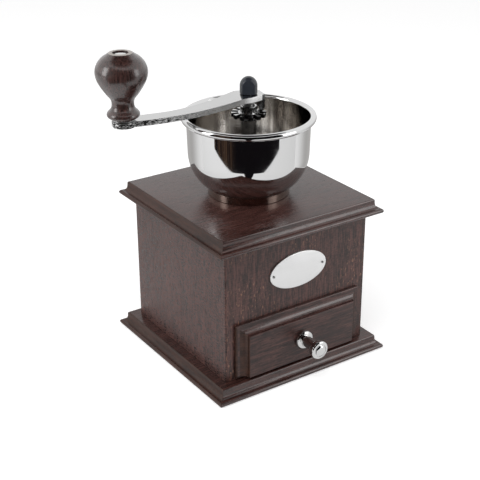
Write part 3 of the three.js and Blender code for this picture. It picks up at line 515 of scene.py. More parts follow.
# Joins shapes or takes the others away from the first, by the Boolean modifier
def combined(operation, shape, *tools):
    parts = [meshed("blank", each) for each in (shape, *tools)]
    for tool in parts[1:]:
        step = parts[0].modifiers.new("step", "BOOLEAN")
        step.operation = operation
        step.object = tool
    seen = parts[0].evaluated_get(bpy.context.evaluated_depsgraph_get())
    result = bmesh.new()
    result.from_mesh(seen.data)
    for part in parts:
        bpy.data.objects.remove(part)
    return result


def cut(shape, *tools):
    return combined("DIFFERENCE", shape, *tools)


def joined(shape, *others):
    return combined("UNION", shape, *others)


# A CAD node's own mesh, merged and with its flat faces whole again
def copied(node):
    shape = bmesh.new()
    shape.from_mesh(frame["nodes"][node].data)
    scaled(shape, 1 / mm)
    bmesh.ops.remove_doubles(shape, verts=shape.verts, dist=weld)
    bmesh.ops.dissolve_limit(shape, angle_limit=math.radians(1), verts=shape.verts, edges=shape.edges)
    return shape


def rod(radius, low, high, steps=48):
    return lathe([(0, low), (radius, low), (radius, high), (0, high)], steps)


# A cutter on the Z axis, through the height of a node
def drill(radius, node, steps=48):
    low, high = span(node)
    return rod(radius, low.z - past, high.z + past, steps)


# A shape drawn about the Z axis, brought to where a node stands
def standing(shape, node):
    return moved(shape, middle(node).xy.to_3d())


# A rod along Y through the given x and z
def crossRod(radius, low, high, x, z):
    return moved(turned(rod(radius, -high, -low), 90, "X"), (x, 0, z))


# A flat ring as high as its node, drawn about the Z axis
def washer(node, bore, rim):
    low, high = span(node)
    return lathe([(bore, low.z), (rim, low.z), (rim, high.z), (bore, high.z)], 64, closed=True)


# The choice gives the number of each face's material
def painted(shape, choice):
    shape.normal_update()
    for face in shape.faces:
        face.material_index = int(choice(face))
    return shape


def dress(node, material):
    frame["nodes"][node].material_slots[0].material = material


# Moulded boards: a round nose, a cove and a small shoulder run all round

board = dict(shoulder=0.9, shoulderDrop=1.5, nose=3.1, moulding=5.3, ease=0.25, screwHole=2.3,
             screwHead=4.2, headDepth=0.6, sinkDepth=3, throat=20.5, millScrewHole=1.9)
boardWoods = [woodBoard, woodEnd, woodMoulding]
baseScrews = [f"base_screw_{i}" for i in (1, 2, 3, 4)]
millScrews = [f"mill_screw_{i}" for i in (1, 2, 3)]
squareOn = 0.98   # a face whose normal has this share along an axis is square to it
onEnds = 0.15     # one whose normal has more than this share along X may belong to the ends


def mouldedBoard(node):
    low, high = span(node)
    nose = board["nose"] / 2
    edge = high.x - nose
    flat = high.x - board["moulding"]
    shoulder = flat + board["shoulder"]
    drop = high.z - board["shoulderDrop"]
    top = low.z + board["nose"]
    profile = [(0, low.z)] + arc((edge, low.z + nose), nose, -90, 90, 12)
    profile += bend((edge, top), (shoulder, top), (shoulder, drop), 14)[1:]
    profile += bend((shoulder, drop), (shoulder, high.z), (flat, high.z), 5)[1:] + [(0, high.z)]
    shape = bmesh.new()
    corners, edges = ring(shape, [(radius, radius, height) for radius, height in profile], closed=False)
    bmesh.ops.spin(shape, geom=corners + edges, cent=(0, 0, 0), axis=(0, 0, 1), angle=2 * math.pi,
                   steps=4, use_merge=True)
    tidy(shape)
    bmesh.ops.dissolve_limit(shape, angle_limit=math.radians(0.5), verts=shape.verts, edges=shape.edges)
    return shape


# The ends show end grain, and the mouldings have a second, glossier coat
def boardFinish(face):
    if abs(face.normal.x) > max(abs(face.normal.y), onEnds):
        return 1
    return 2 * (abs(face.normal.z) < squareOn)


def makeBoards():
    low, high = span("base_board")
    below, above, sunk = low.z - past, high.z + past, low.z + board["headDepth"]
    sink = [(0, below), (board["screwHead"], below), (board["screwHead"], sunk),
            (board["screwHole"], low.z + board["sinkDepth"]), (board["screwHole"], above), (0, above)]
    holes = [standing(lathe(sink, 40), node) for node in baseScrews]
    piece(painted(cut(mouldedBoard("base_board"), *holes), boardFinish), boardWoods,
          ["base_board"], bevel=board["ease"])
    throat = drill(board["throat"], "top_board", steps=96)
    screws = [standing(drill(board["millScrewHole"], "top_board"), node) for node in millScrews]
    piece(painted(cut(mouldedBoard("top_board"), throat, *screws), boardFinish), boardWoods,
          ["top_board"], bevel=board["ease"])


# Upright panels, mitred at the corners

platePins = ["plate_pin_left", "plate_pin_right"]
panel = dict(thickness=11, cornerRadius=0.9, mitre=0.05, ease=0.3, openingGap=0.3, pinHole=1, pinDepth=8)


def uprightPanel(degrees):
    low, high = span("front_panel")
    half = -low.y
    inner = half - panel["thickness"]
    radius = panel["cornerRadius"]
    corner = arc((half - radius, radius - half), radius, -90, -45, 4)
    side = [(x - panel["mitre"] / 2, y) for x, y in corner[1:]]
    right = [corner[0], *side, (inner - panel["mitre"], -inner)]
    outline = right + [(-x, y) for x, y in reversed(right)]
    return turned(slab(outline, low.z, high.z), degrees)


def makePanels():
    low, high = span("front_panel")
    left, right = span("drawer_left")[0], span("drawer_right")[1]
    gap = Vector((panel["openingGap"], past, panel["openingGap"]))
    opening = box(Vector((left.x, low.y, left.z)) - gap, Vector((right.x, high.y, right.z)) + gap)
    end = low.y + panel["pinDepth"]
    pins = [crossRod(panel["pinHole"], low.y - past, end, middle(name).x, middle(name).z)
            for name in platePins]
    piece(cut(uprightPanel(0), opening, *pins), woodPanel, ["front_panel"], bevel=panel["ease"])
    for node, degrees in (("right_panel", 90), ("back_panel", 180), ("left_panel", -90)):
        piece(uprightPanel(degrees), woodSide, [node], bevel=panel["ease"])


# Oval plate on two pins, left bare

plate = dict(bevel=0.4, steps=96, hole=0.95, pin=0.7, pinHead=0.95, pinDome=0.8)


def makePlate():
    low, high = span("name_plate")
    centre = (low + high) / 2
    half = (high - low) / 2

    def oval(inset, y):
        turns = [2 * math.pi * i / plate["steps"] for i in range(plate["steps"])]
        wide, tall = half.x - inset, half.z - inset
        return [(centre.x + wide * math.cos(turn), y, centre.z + tall * math.sin(turn)) for turn in turns]

    rounds = arc((plate["bevel"], low.y + plate["bevel"]), plate["bevel"], 180, 270, 4)
    sheet = stacked([oval(0, high.y)] + [oval(inset, y) for inset, y in rounds])
    holes = [crossRod(plate["hole"], low.y - past, high.y + past, middle(name).x, centre.z)
             for name in platePins]
    piece(cut(sheet, *holes), plateMetal, ["name_plate"])
    for name in platePins:
        pinLow, pinHigh = span(name)
        shank, head = plate["pin"], plate["pinHead"]
        dome = [(0, -pinHigh.y), (shank, -pinHigh.y), (shank, -low.y), (head, -low.y)]
        dome += bend((head, -low.y), (head * plate["pinDome"], -pinLow.y), (0, -pinLow.y), 6)[1:]
        pin = turned(lathe(dome, 32), 90, "X")
        piece(moved(pin, (middle(name).x, 0, middle(name).z)), steel, [name])


# Drawer: a moulded front on a plain box, with a metal spool to pull it by

drawer = dict(edge=2, edgeRound=0.5, ledge=0.9, ledgeRise=0.15, archRise=0.5, quirk=0.9, moulding=6.6,
              thickness=6.8, line=0.5, lineDepth=0.6, faceRound=0.2, ease=0.25, hole=2, boxEase=0.3)


def drawerFinish(face):
    if abs(face.normal.x) > max(abs(face.normal.z), onEnds):
        return 1
    return 2 * (abs(face.normal.y) < squareOn)


def makeDrawerFront():
    low, high = span("drawer_front")
    below = 20
    edge, moulding, thickness = drawer["edge"], drawer["moulding"], drawer["thickness"]
    rise = thickness - drawer["quirk"]
    ledge = (drawer["ledge"], edge + drawer["ledgeRise"])
    profile = [(0, 0)] + rounded([(0, 0), (0, edge, drawer["edgeRound"]), ledge])[1:]
    profile += bend(ledge, (moulding, edge + drawer["archRise"]), (moulding, rise), 14)[1:]
    profile += [(moulding + drawer["line"] / 2, rise - drawer["lineDepth"])]
    inner = moulding + drawer["line"]
    profile += rounded([(inner, rise), (inner, thickness, drawer["faceRound"]), (high.x, thickness)], 3)[1:-1]

    def frameAt(inset, proud):
        x, y = high.x - inset, high.y - proud
        bottom = low.z - below + inset
        return [(-x, y, high.z - inset), (x, y, high.z - inset), (x, y, bottom), (-x, y, bottom)]

    shape = trimmed(stacked([frameAt(*point) for point in profile]), (0, 0, low.z), (0, 0, -1))
    hole = crossRod(drawer["hole"], low.y - past, high.y + past, 0, middle("drawer_knob").z)
    piece(painted(cut(shape, hole), drawerFinish), [woodDrawer, woodEnd, woodMoulding],
          ["drawer_front"], bevel=drawer["ease"])


# The spool, from the front panel out: a dished flange, a neck, a disc and a button in a groove
spool = dict(flangeRound=0.7, flangeEdge=2, dishEdge=1.2, flangeTop=3.1, dishTop=3.2,
             neck=3.7, neckFlare=0.7, neckStart=4.2, discFlare=1.2, discRise=1, disc=4.4, discInset=0.2,
             discRound=1.1, button=3.6, buttonHeight=1.3, buttonEdge=0.5, buttonDome=0.8,
             groove=0.7, grooveDepth=0.6, grooveSlope=0.1)


def makeDrawerKnob():
    low, high = span("drawer_knob")
    length, flange, neck, button = high.y - low.y, high.x, spool["neck"], spool["button"]
    front = length - spool["buttonHeight"]
    rear = front - spool["disc"]
    dishTop, corner = spool["dishTop"], spool["discRound"]
    side = flange - spool["discInset"] - corner
    flare = neck + spool["neckFlare"]
    brim = [(0, 0), (flange, 0, spool["flangeRound"]), (flange, spool["flangeEdge"])]
    profile = [(0, 0)] + rounded(brim)[1:]
    profile += bend((flange, spool["dishEdge"]), (flange, spool["flangeTop"]), (flare, dishTop), 8)[1:]
    profile += bend((flare, dishTop), (neck, dishTop), (neck, spool["neckStart"]), 4)[1:]
    profile += bend((neck, rear - spool["discFlare"]), (neck, rear), (neck + spool["discRise"], rear), 4)
    profile += arc((side, rear + corner), corner, -90, 0, 6) + arc((side, front - corner), corner, 0, 90, 6)
    rim, groove = button + spool["groove"], front - spool["grooveDepth"]
    profile += [(rim, front), (rim - spool["grooveSlope"], groove), (button, groove)]
    dome = button * spool["buttonDome"]
    profile += bend((button, front + spool["buttonEdge"]), (dome, length), (0, length), 8)
    shape = turned(lathe(profile, 96), 90, "X")
    piece(moved(shape, (0, high.y, middle("drawer_knob").z)), chrome, ["drawer_knob"])


backScrew = dict(shank=1.7, head=3.4, headHeight=2, dome=1.2, domeInset=0.4, slot=0.8, slotDepth=0.8)


def makeDrawerScrew():
    low, high = span("drawer_knob_screw")
    centre, shank, head = middle("drawer_knob_screw"), backScrew["shank"], backScrew["head"]
    under, half = high.y - backScrew["headHeight"], backScrew["slot"] / 2
    profile = [(0, low.y), (shank, low.y), (shank, under), (head, under)]
    crown = (head - backScrew["domeInset"], high.y)
    profile += bend((head, high.y - backScrew["dome"]), crown, (0, high.y), 6)
    shape = turned(lathe([(radius, -place) for radius, place in profile], 48), 90, "X")
    slot = box((-head - past, high.y - backScrew["slotDepth"], centre.z - half),
               (head + past, high.y + past, centre.z + half))
    piece(cut(moved(shape, (0, 0, centre.z)), slot), steel, ["drawer_knob_screw"])


def makeDrawerBox():
    for node, grain in (("drawer_left", beechDeep), ("drawer_right", beechDeep),
                        ("drawer_back", beechAcross), ("drawer_bottom", beechAcross)):
        piece(copied(node), grain, [node], bevel=drawer["boxEase"])


# Hopper bowl: polished outside, spun inside, with its rim rolled outwards into a bead

bowl = dict(wall=0.9, bead=2.15, belly=28.5, waist=39.8, mouth=40.4, floor=27.25, throat=18.6, steps=192,
            insideEnd=1.6)


def makeBowl():
    low, high = span("hopper_bowl")
    rim = high.z - bowl["bead"]
    centre = bowl["waist"] - bowl["belly"]
    level = low.z + math.sqrt(bowl["belly"] ** 2 - (bowl["floor"] - centre) ** 2)
    lean = math.degrees(math.atan((bowl["mouth"] - bowl["waist"]) / (rim - level)))
    inside = bowl["belly"] - bowl["wall"]
    floor = low.z + bowl["wall"]
    startIn = -math.degrees(math.asin((level - floor) / inside))
    startOut = -math.degrees(math.asin((level - low.z) / bowl["belly"]))
    close = 180 - math.degrees(math.acos((high.x - bowl["bead"] - bowl["mouth"]) / bowl["bead"]))
    profile = [(bowl["throat"], floor)] + arc((centre, level), inside, startIn, -lean, 24)
    profile += arc((high.x - bowl["bead"], rim), bowl["bead"], 180, -close, 40)
    profile += arc((centre, level), bowl["belly"], -lean, startOut, 24) + [(bowl["throat"], low.z)]

    def inner(face):
        place = face.calc_center_median()
        within = place.xy.length < high.x - bowl["bead"] * bowl["insideEnd"]
        upward = face.normal.dot(Vector((place.x, place.y, 0))) < 0 or face.normal.z > 0.1
        return within and upward and place.z < rim

    shape = painted(lathe(profile, bowl["steps"], closed=True), inner)
    piece(shape, [chrome, bowlInsidePaintedStreaks], ["hopper_bowl"], sharp=40)


foot = dict(groove=0.008, grooves=3, inner=20.5, ease=0.3)


def makeFootRing():
    low, high = span("bowl_foot_ring")
    pitch = (high.z - low.z) / (2 * foot["grooves"] + 1)
    ease = foot["ease"]
    profile = [(foot["inner"], low.z), (high.x - ease, low.z), (high.x, low.z + ease)]
    for i in range(foot["grooves"]):
        start = low.z + pitch * (2 * i + 1)
        depth = high.x - 2 * foot["groove"]
        profile += bend((high.x, start), (depth, start + pitch / 2), (high.x, start + pitch), 6)
    profile += [(high.x, high.z - ease), (high.x - ease, high.z), (foot["inner"], high.z)]
    piece(lathe(profile, 160, closed=True), footChromePaintedBoardReflection, ["bowl_foot_ring"])


# Bearing in the bowl: a ring with three arms and the column that carries the spindle

spider = dict(thickness=3, ease=0.4, armWidth=5, armReach=22, armDrop=0.3, armLift=0.001,
              hub=7.2, hubHeight=5, hubFillet=3, column=4.85, columnEase=0.3, throat=18.6,
              bore=3.5, pocket=4.25, bushRadius=4.1, screwHole=1.9)
bush = dict(inset=0.2, under=0.25, top=0.45)


def makeSpider():
    low, high = span("bearing_spider")
    top = low.z + spider["thickness"]
    ease, throat, radius = spider["ease"], spider["throat"], spider["column"]
    flange = lathe([(throat, low.z), (high.x, low.z), (high.x, top - ease), (high.x - ease, top),
                    (throat + ease, top), (throat, top - ease)], 128, closed=True)
    hubTop = low.z + spider["hubHeight"]
    bevel = spider["columnEase"]
    profile = [(0, low.z), (spider["hub"], low.z)]
    fillet = hubTop + spider["hubFillet"]
    profile += bend((spider["hub"], top - 0.5), (radius, top + 0.3), (radius, fillet), 10)
    profile += [(radius, high.z - bevel), (radius - bevel, high.z), (0, high.z)]
    half = spider["armWidth"] / 2
    near, far = (0, -half, low.z + spider["armLift"]), (spider["armReach"], half, top - spider["armDrop"])
    arms = [turned(box(near, far), 120 * i) for i in range(3)]
    body = joined(flange, lathe(profile, 96), *arms)
    bore = drill(spider["bore"], "bearing_spider")
    pocket = rod(spider["pocket"], span("column_bush")[0].z - 0.3, high.z + past)
    screws = [standing(rod(spider["screwHole"], low.z - past, top + past, 32), node) for node in millScrews]
    piece(cut(body, bore, pocket, *screws), columnSteel, ["bearing_spider"])


def makeBush():
    low, high = span("column_bush")
    inner, outer, columnTop = spider["bore"], spider["bushRadius"], span("bearing_spider")[1].z
    profile = [(inner, low.z), (outer, low.z), (outer, columnTop), (high.x - bush["inset"], columnTop),
               (high.x, columnTop + bush["under"]), (high.x, high.z - bush["top"]),
               (high.x - bush["top"], high.z), (inner, high.z)]
    piece(lathe(profile, 96, closed=True), chrome, ["column_bush"])


millScrew = dict(shank=1.6, ease=0.4, point=0.5, head=2.3, underHead=0.1, headEdge=0.8, headDome=0.2,
                 slot=0.35, slotReach=4, slotDepth=0.8, turn=25, turnStep=50)
baseScrew = dict(shank=2, point=4, head=3.9, headEdge=0.3, headRim=0.15, headDepth=2.4,
                 cross=0.45, crossReach=2.4, crossDepth=1.2, turn=20, turnStep=35)


# Each screw stops at a turn of its own
def makeScrews(nodes, screw, drawn):
    for i, node in enumerate(nodes):
        low, high = span(node)
        shape = turned(drawn(low.z, high.z), screw["turn"] + screw["turnStep"] * i)
        piece(standing(shape, node), steel, [node])


def drawnMillScrew(low, high):
    under = span("bearing_spider")[0].z + spider["thickness"] + millScrew["underHead"]
    shank, head, half, far = (millScrew[name] for name in ("shank", "head", "slot", "slotReach"))
    profile = [(0, low), (shank - millScrew["ease"], low), (shank, low + millScrew["point"]),
               (shank, under), (head, under)]
    profile += bend((head, under + millScrew["headEdge"]), (head - millScrew["headDome"], high), (0, high), 6)
    slot = box((-far, -half, high - millScrew["slotDepth"]), (far, half, high + past))
    return cut(lathe(profile, 40), slot)


def drawnBaseScrew(low, high):
    shank, head, half, far = (baseScrew[name] for name in ("shank", "head", "cross", "crossReach"))
    profile = [(0, low), (head - baseScrew["headEdge"], low), (head, low + baseScrew["headRim"]),
               (shank, low + baseScrew["headDepth"]), (shank, high - baseScrew["point"]), (0, high)]
    floor = low + baseScrew["crossDepth"]
    bars = [box((-x, -y, low - past), (x, y, floor)) for x, y in ((far, half), (half, far))]
    return cut(lathe(profile, 40), *bars)


# Everything on the spindle. The arm is drawn along +X and then turned to where it rests

knobPlace = middle("crank_knob")
restTurn = math.degrees(math.atan2(knobPlace.y, knobPlace.x))
reach = knobPlace.xy.length
knobCentre = (knobPlace.x, knobPlace.y, 0)
wheel = dict(radius=11.35, notches=12, notch=2.8, root=6.9, rootInset=0.01, hub=5.4, hubHeight=4.2,
             hubStart=0.4, hubFinish=5.9, bore=4.1, ease=0.35, washerEase=0.15)


def makeWheel():
    low, high = span("adjuster_wheel")
    top = high.z - wheel["hubHeight"]
    half = wheel["notch"] / 2
    step = 360 / wheel["notches"]
    edge = math.degrees(math.asin(half / wheel["radius"]))
    root = half - wheel["rootInset"]
    tooth = [(wheel["root"], -root), (wheel["root"], root)]
    tooth += arc((0, 0), wheel["radius"], edge, step - edge, 6)
    outline = []
    for i in range(wheel["notches"]):
        matrix = Matrix.Rotation(math.radians(step * i), 2)
        outline += [tuple(matrix @ Vector(point)) for point in tooth]
    hub = rod(wheel["hub"], low.z + wheel["hubStart"], high.z, 64)
    body = cut(joined(slab(outline, low.z, top), hub), drill(wheel["bore"], "adjuster_wheel"))

    # The hub stays bright; the tops and tooth sides take the painted shade
    def wheelFinish(face):
        if face.calc_center_median().xy.length < wheel["hubFinish"]:
            return 0
        return 2 if abs(face.normal.z) < 0.5 else 1

    piece(painted(turned(body, restTurn), wheelFinish),
          [hubSteel, wheelTopPaintedShade, wheelEdgePaintedShade], ["adjuster_wheel"], bevel=wheel["ease"])
    rim = span("thrust_washer")[1].x
    piece(washer("thrust_washer", wheel["bore"], rim), steel, ["thrust_washer"], bevel=wheel["washerEase"])


arm = dict(thickness=3.6, drop=6.8, flatAtHub=7, flatAtKnob=23, end=7.5, hubHole=3.2, pivotHole=2.9,
           stations=[(-9.4, 4.6), (4, 9), (24.5, 7.25), (49, 5.5), (66, 5.7)],
           slices=24, sliceStart=6, sliceEnd=12, lug=4.6, lugThickness=1.7, lugDrop=1.8, lugCorner=1.5,
           lugRise=1.2, tongue=1.1, tongueDip=1.6, edgeSteepness=0.3, ease=0.45)


def armTop(distance):
    top = span("crank_arm")[1].z
    sloping = reach - arm["flatAtKnob"] - arm["flatAtHub"]
    share = min(max((reach - arm["flatAtKnob"] - distance) / sloping, 0), 1)
    return top - arm["drop"] * (1 - share * share)


def makeArm():
    round45 = arm["end"] * math.sqrt(0.5)
    edge = smooth(arm["stations"] + [(reach - round45, round45)], 8)[:-1]
    edge += arc((reach, 0), arm["end"], 135, 0, 16)
    outline = edge + [(x, -y) for x, y in reversed(edge[:-1])]
    shape = slab(outline, -arm["thickness"], 0)
    sliced = reach - arm["sliceStart"] - arm["sliceEnd"]
    for i in range(arm["slices"] + 1):
        geom = shape.verts[:] + shape.edges[:] + shape.faces[:]
        place = (arm["sliceStart"] + sliced * i / arm["slices"], 0, 0)
        bmesh.ops.bisect_plane(shape, geom=geom, plane_co=place, plane_no=(1, 0, 0))
    for corner in shape.verts:
        corner.co.z += armTop(corner.co.x)
    bottom = armTop(0) - arm["thickness"]
    wheelTop = span("adjuster_wheel")[1].z - wheel["hubHeight"]
    wide, narrow, cornerCut = arm["lug"], arm["tongue"], arm["lugCorner"]
    waist, tip = wheelTop + arm["lugRise"], wheelTop - arm["tongueDip"]
    sheet = [(-wide, bottom + arm["lugDrop"]), (-wide, waist + cornerCut), (-wide + cornerCut, waist),
             (-narrow, waist), (-narrow, tip)]
    sheet += [(-y, z) for y, z in reversed(sheet)]
    tail = arm["stations"][0][0]
    lug = slab(sheet, tail, tail + arm["lugThickness"])
    for corner in lug.verts:
        corner.co = corner.co.zxy
    tidy(lug)
    above = span("crank_arm")[1].z + past
    hole = rod(arm["hubHole"], bottom - past, above)
    pivot = moved(rod(arm["pivotHole"], armTop(reach) - arm["thickness"] - past, above), (reach, 0, 0))

    # Side faces take the sheared edge, and the lug's faces the painted shade
    def armFinish(face):
        if abs(face.normal.z) > arm["edgeSteepness"]:
            return 0
        return 2 if face.calc_center_median().x < tail + arm["lugThickness"] + 0.1 else 1

    body = turned(painted(cut(joined(shape, lug), hole, pivot), armFinish), restTurn)
    piece(body, [armChrome, armEdge, lugSteelPaintedShade], ["crank_arm"], bevel=arm["ease"], segments=3)


capNut = dict(radius=5.7, dome=6, foot=0.4, ease=0.3, bore=2.7, boreDepth=6.3, flat=4.1, flatTurn=68)


def makeCapNut():
    low, high = span("crank_cap_nut")
    radius, bore, foot = capNut["radius"], capNut["bore"], capNut["foot"]
    spring = high.z - capNut["dome"]
    blind = low.z + capNut["boreDepth"]
    profile = [(0, blind), (bore, blind), (bore, low.z), (radius - foot, low.z), (radius, low.z + foot)]
    profile += [(radius * x, spring + capNut["dome"] * z) for x, z in arc((0, 0), 1, 0, 90, 16)]
    shape = turned(lathe(profile, 96), restTurn + capNut["flatTurn"])
    turn = math.radians(restTurn + capNut["flatTurn"])
    for side in (1, -1):
        normal = Vector((math.cos(turn), math.sin(turn), 0)) * side
        shape = trimmed(shape, normal * capNut["flat"], normal)
    piece(shape, nutPlastic, ["crank_cap_nut"], bevel=capNut["ease"])


shaft = dict(radius=3.2, thread=3.75, pitch=1.0, depth=0.45, shoulder=4.4, stub=2, arm=2.4, collar=2.1,
             threadStart=1, ridgeRoot=0.15, crest=(0.42, 0.52), ridgeEnd=0.94, steps=36, ease=0.4, armGap=0.3)


def makeSpindle():
    low, high = span("spindle")
    start = span("adjuster_wheel")[0].z + shaft["threadStart"]
    armLow = armTop(0) - arm["thickness"]
    burrTop = span("inner_burr")[1].z
    core, ease = shaft["thread"] - shaft["depth"], shaft["ease"]
    stub, square, pitch, steps = shaft["stub"], shaft["arm"], shaft["pitch"], shaft["steps"]
    under, seat = armLow - shaft["collar"], armLow - shaft["armGap"]
    end = under - 0.2
    profile = [(0, low.z), (stub - 0.3, low.z), (stub, low.z + ease), (stub, burrTop),
               (shaft["radius"], burrTop + 0.3), (shaft["radius"], start - 0.5), (core, start - 0.1),
               (core, end), (shaft["shoulder"], under), (shaft["shoulder"], seat),
               (square, seat), (square, high.z - ease), (square - ease, high.z), (0, high.z)]
    turns = math.floor((end - start) / pitch)
    ridge = bmesh.new()
    root = core - shaft["ridgeRoot"]
    crest = [(shaft["thread"], 0, start + pitch * share) for share in shaft["crest"]]
    corners, _ = ring(ridge, [(root, 0, start), *crest, (root, 0, start + pitch * shaft["ridgeEnd"])])
    bmesh.ops.spin(ridge, geom=[ridge.faces.new(corners)], cent=(0, 0, 0), axis=(0, 0, 1),
                   angle=2 * math.pi * turns, steps=steps * turns, dvec=(0, 0, pitch / steps))
    body = joined(lathe(profile, 64), tidy(ridge))
    piece(body, steel, ["spindle"], sharp=50, name="threadedSpindle")


# Its wall is given by stations: shares of the height, and of the greatest radius
knob = dict(dish=4.9, dishDepth=1.4, dishEase=0.3, bore=2.9, land=7.4, landDrop=0.3, washer=7, washerEase=0.12,
            heights=[0, 0.035, 0.068, 0.105, 0.155, 0.215, 0.3, 0.4, 0.5, 0.6, 0.69, 0.77, 0.85, 0.92, 0.955],
            radii=[0.47, 0.6, 0.635, 0.6, 0.48, 0.43, 0.46, 0.65, 0.82, 0.95, 1, 0.98, 0.89, 0.735, 0.6])


def makeKnob():
    low, high = span("crank_knob")
    tall = high.z - low.z
    radius = high.x - knobPlace.x
    wall = [(radius * r, low.z + tall * h) for r, h in zip(knob["radii"], knob["heights"])]
    land, landLevel = knob["land"], high.z - knob["landDrop"]
    edge, floor, bore = knob["dish"], high.z - knob["dishDepth"], knob["bore"]
    profile = [(bore, low.z)] + smooth(wall + [(land, landLevel)], 8)[:-1]
    ease = knob["dishEase"]
    profile += bend((land, landLevel), (edge + 1, high.z), (edge + ease, high.z), 6)
    profile += [(edge, high.z - ease), (edge, floor), (bore, floor)]

    # Faces of the flat top land take the painted sheen
    def onLand(face):
        place = face.calc_center_median()
        return place.z > landLevel and edge < place.xy.length < land

    shape = painted(lathe(profile, 128, closed=True), onLand)
    piece(moved(shape, knobCentre), [woodKnob, knobLand], ["crank_knob"])


# Its head is riveted over in the knob's dish, and its tail under the arm
axle = dict(radius=2.6, rivet=3.7, rivetDrop=0.75, rivetRise=0.1, rivetEdge=0.3, rivetDome=0.2,
            tail=4.2, tailFlat=3, tailGap=0.3)


def makeAxle():
    low, high = span("knob_axle")
    knobTop = span("crank_knob")[1].z
    under = armTop(reach) - arm["thickness"] - axle["tailGap"]
    tail, flat, radius, rivet = axle["tail"], axle["tailFlat"], axle["radius"], axle["rivet"]
    floor = knobTop - knob["dishDepth"]
    top, seat = min(high.z, knobTop - axle["rivetDrop"]), floor + axle["rivetRise"]
    profile = [(0, low.z), (flat, low.z)] + bend((flat, low.z), (tail, low.z), (tail, under), 5)[1:]
    profile += [(radius, under), (radius, seat), (rivet, seat)]
    profile += bend((rivet, floor + axle["rivetEdge"]), (rivet - axle["rivetDome"], top), (0, top), 8)
    piece(moved(lathe(profile, 64), knobCentre), chrome, ["knob_axle"])
    piece(moved(washer("knob_washer", knob["bore"], knob["washer"]), knobCentre), steel, ["knob_washer"],
          bevel=knob["washerEase"])


makeBoards()
makePanels()
print("boards and panels made")
makePlate()
makeDrawerFront()
makeDrawerKnob()
makeDrawerScrew()
makeDrawerBox()
print("drawer made")
makeBowl()
makeFootRing()
makeSpider()
makeBush()
makeScrews(millScrews, millScrew, drawnMillScrew)
makeScrews(baseScrews, baseScrew, drawnBaseScrew)
print("bowl and mill made")
makeWheel()
makeArm()
makeCapNut()
makeSpindle()
makeKnob()
makeAxle()
print("crank made")

for node in ("grounds_shelf", "drawer_runner_left", "drawer_runner_right"):
    dress(node, beechDeep)
for node in ("burr_housing", "outer_burr", "inner_burr"):
    dress(node, iron)
dress("burr_nut", steel)


# Studio: a pale floor, a white room, soft boxes, and glowing cards that only reflections see: painted
# reflections on the metal and wood.
# Sizes in metres, card sizes in millimetres and their angles in degrees from the camera's side

studio = dict(worldDiffuse=0.5, floorSize=8, floorGap=0.0002, floorColour=0.82, cameraGlow=0.45,
              mirrorGlow=0.08, lampTarget=(0, 0, 0.08))
lamps = dict(
    keyLamp=dict(place=(-0.5, -0.6, 1.3), size=(0.9, 0.9), power=7, mirrored=False),
    leftBox=dict(place=(-1.13, 0.1, 0.52), size=(0.9, 0.8), power=7.9, mirrored=True),
    rightBox=dict(place=(0.6, -0.97, 0.385), size=(0.7, 0.75), power=3.6, mirrored=True),
)
cards = dict(
    darkCard=dict(radius=285, start=-62, end=54, low=12, rise=32, top=420, pale=False),
    leftBackCard=dict(radius=260, start=-170, end=-90, low=0, rise=0, top=110, pale=True),
    rightBackCard=dict(radius=260, start=90, end=170, low=0, rise=0, top=110, pale=True),
)
glow = dict(black=(0.006, 0.005, 0.006, 1), brown=(0.075, 0.045, 0.03, 1), grey=(0.5, 0.49, 0.48, 1),
            streak=(11, 11, 900), paintedStreakRange=(0.45, 0.62), streakSide=(0.1, 0.17), back=0.16)
cardSteps = 64
tongue = dict(level=0.5, edge=[(110, 4), (200, 5), (330, 9)])
ceiling = dict(radius=700, level=1250)


def makeWorld():
    world = bpy.data.worlds.new("studio")
    bpy.context.scene.world = world
    world.use_nodes = True
    nodes = NodeTree(world.node_tree)
    toCamera, toMirror = nodes.seen()
    share = toCamera.maths("MAXIMUM", toCamera, toMirror)
    background = world.node_tree.nodes["Background"]
    nodes.feed(background.inputs["Color"], grey(1))
    nodes.feed(background.inputs["Strength"], studio["worldDiffuse"] + share * (1 - studio["worldDiffuse"]))


def staged(name, shape, material):
    made = meshed(name, shape)
    made.data.materials.append(material)
    return made


def makeFloor():
    shape = bmesh.new()
    bmesh.ops.create_grid(shape, size=studio["floorSize"] / 2)
    material = bpy.data.materials.new("paleFloor")
    material.use_nodes = True
    nodes = NodeTree(material.node_tree)
    toCamera, toMirror = nodes.seen()
    strength = toCamera * studio["cameraGlow"] + toMirror * studio["mirrorGlow"]
    diffuse = nodes.node("ShaderNodeBsdfDiffuse", None, {"Color": grey(studio["floorColour"])})
    glow = nodes.node("ShaderNodeEmission", None, {"Strength": strength})
    both = nodes.node("ShaderNodeAddShader", None, {0: diffuse, 1: glow})
    nodes.feed(material.node_tree.nodes["Material Output"].inputs["Surface"], both)
    floor = staged("floor", shape, material)
    floor.location.z = cadLow.z - studio["floorGap"]


# Place at a radius and an angle from the camera's side, where the camera's side is -Y
def around(radius, angle, height):
    turn = math.radians(angle - 90)
    return (radius * math.cos(turn), radius * math.sin(turn), height)


# Glow of a card, a painted reflection: black with brown streaks on its left, or white that turns grey to the
# back
def paintedReflectionFinish(name, pale):
    finish = Finish(name, {"Base Color": grey(0), "Roughness": 1, "Specular IOR Level": 0,
                           "Emission Strength": 1})
    if pale:
        colour = finish.mix(finish.step(finish.part("Y"), 0, glow["back"]), grey(1), glow["grey"])
    else:
        side = finish.step(0 - finish.part("X"), *glow["streakSide"])
        streaks = finish.step(finish.noise(glow["streak"], 2, 0.7), *glow["paintedStreakRange"])
        colour = finish.mix(streaks * side, glow["black"], glow["brown"])
    finish.feedShader({"Emission Color": colour})
    return finish.material


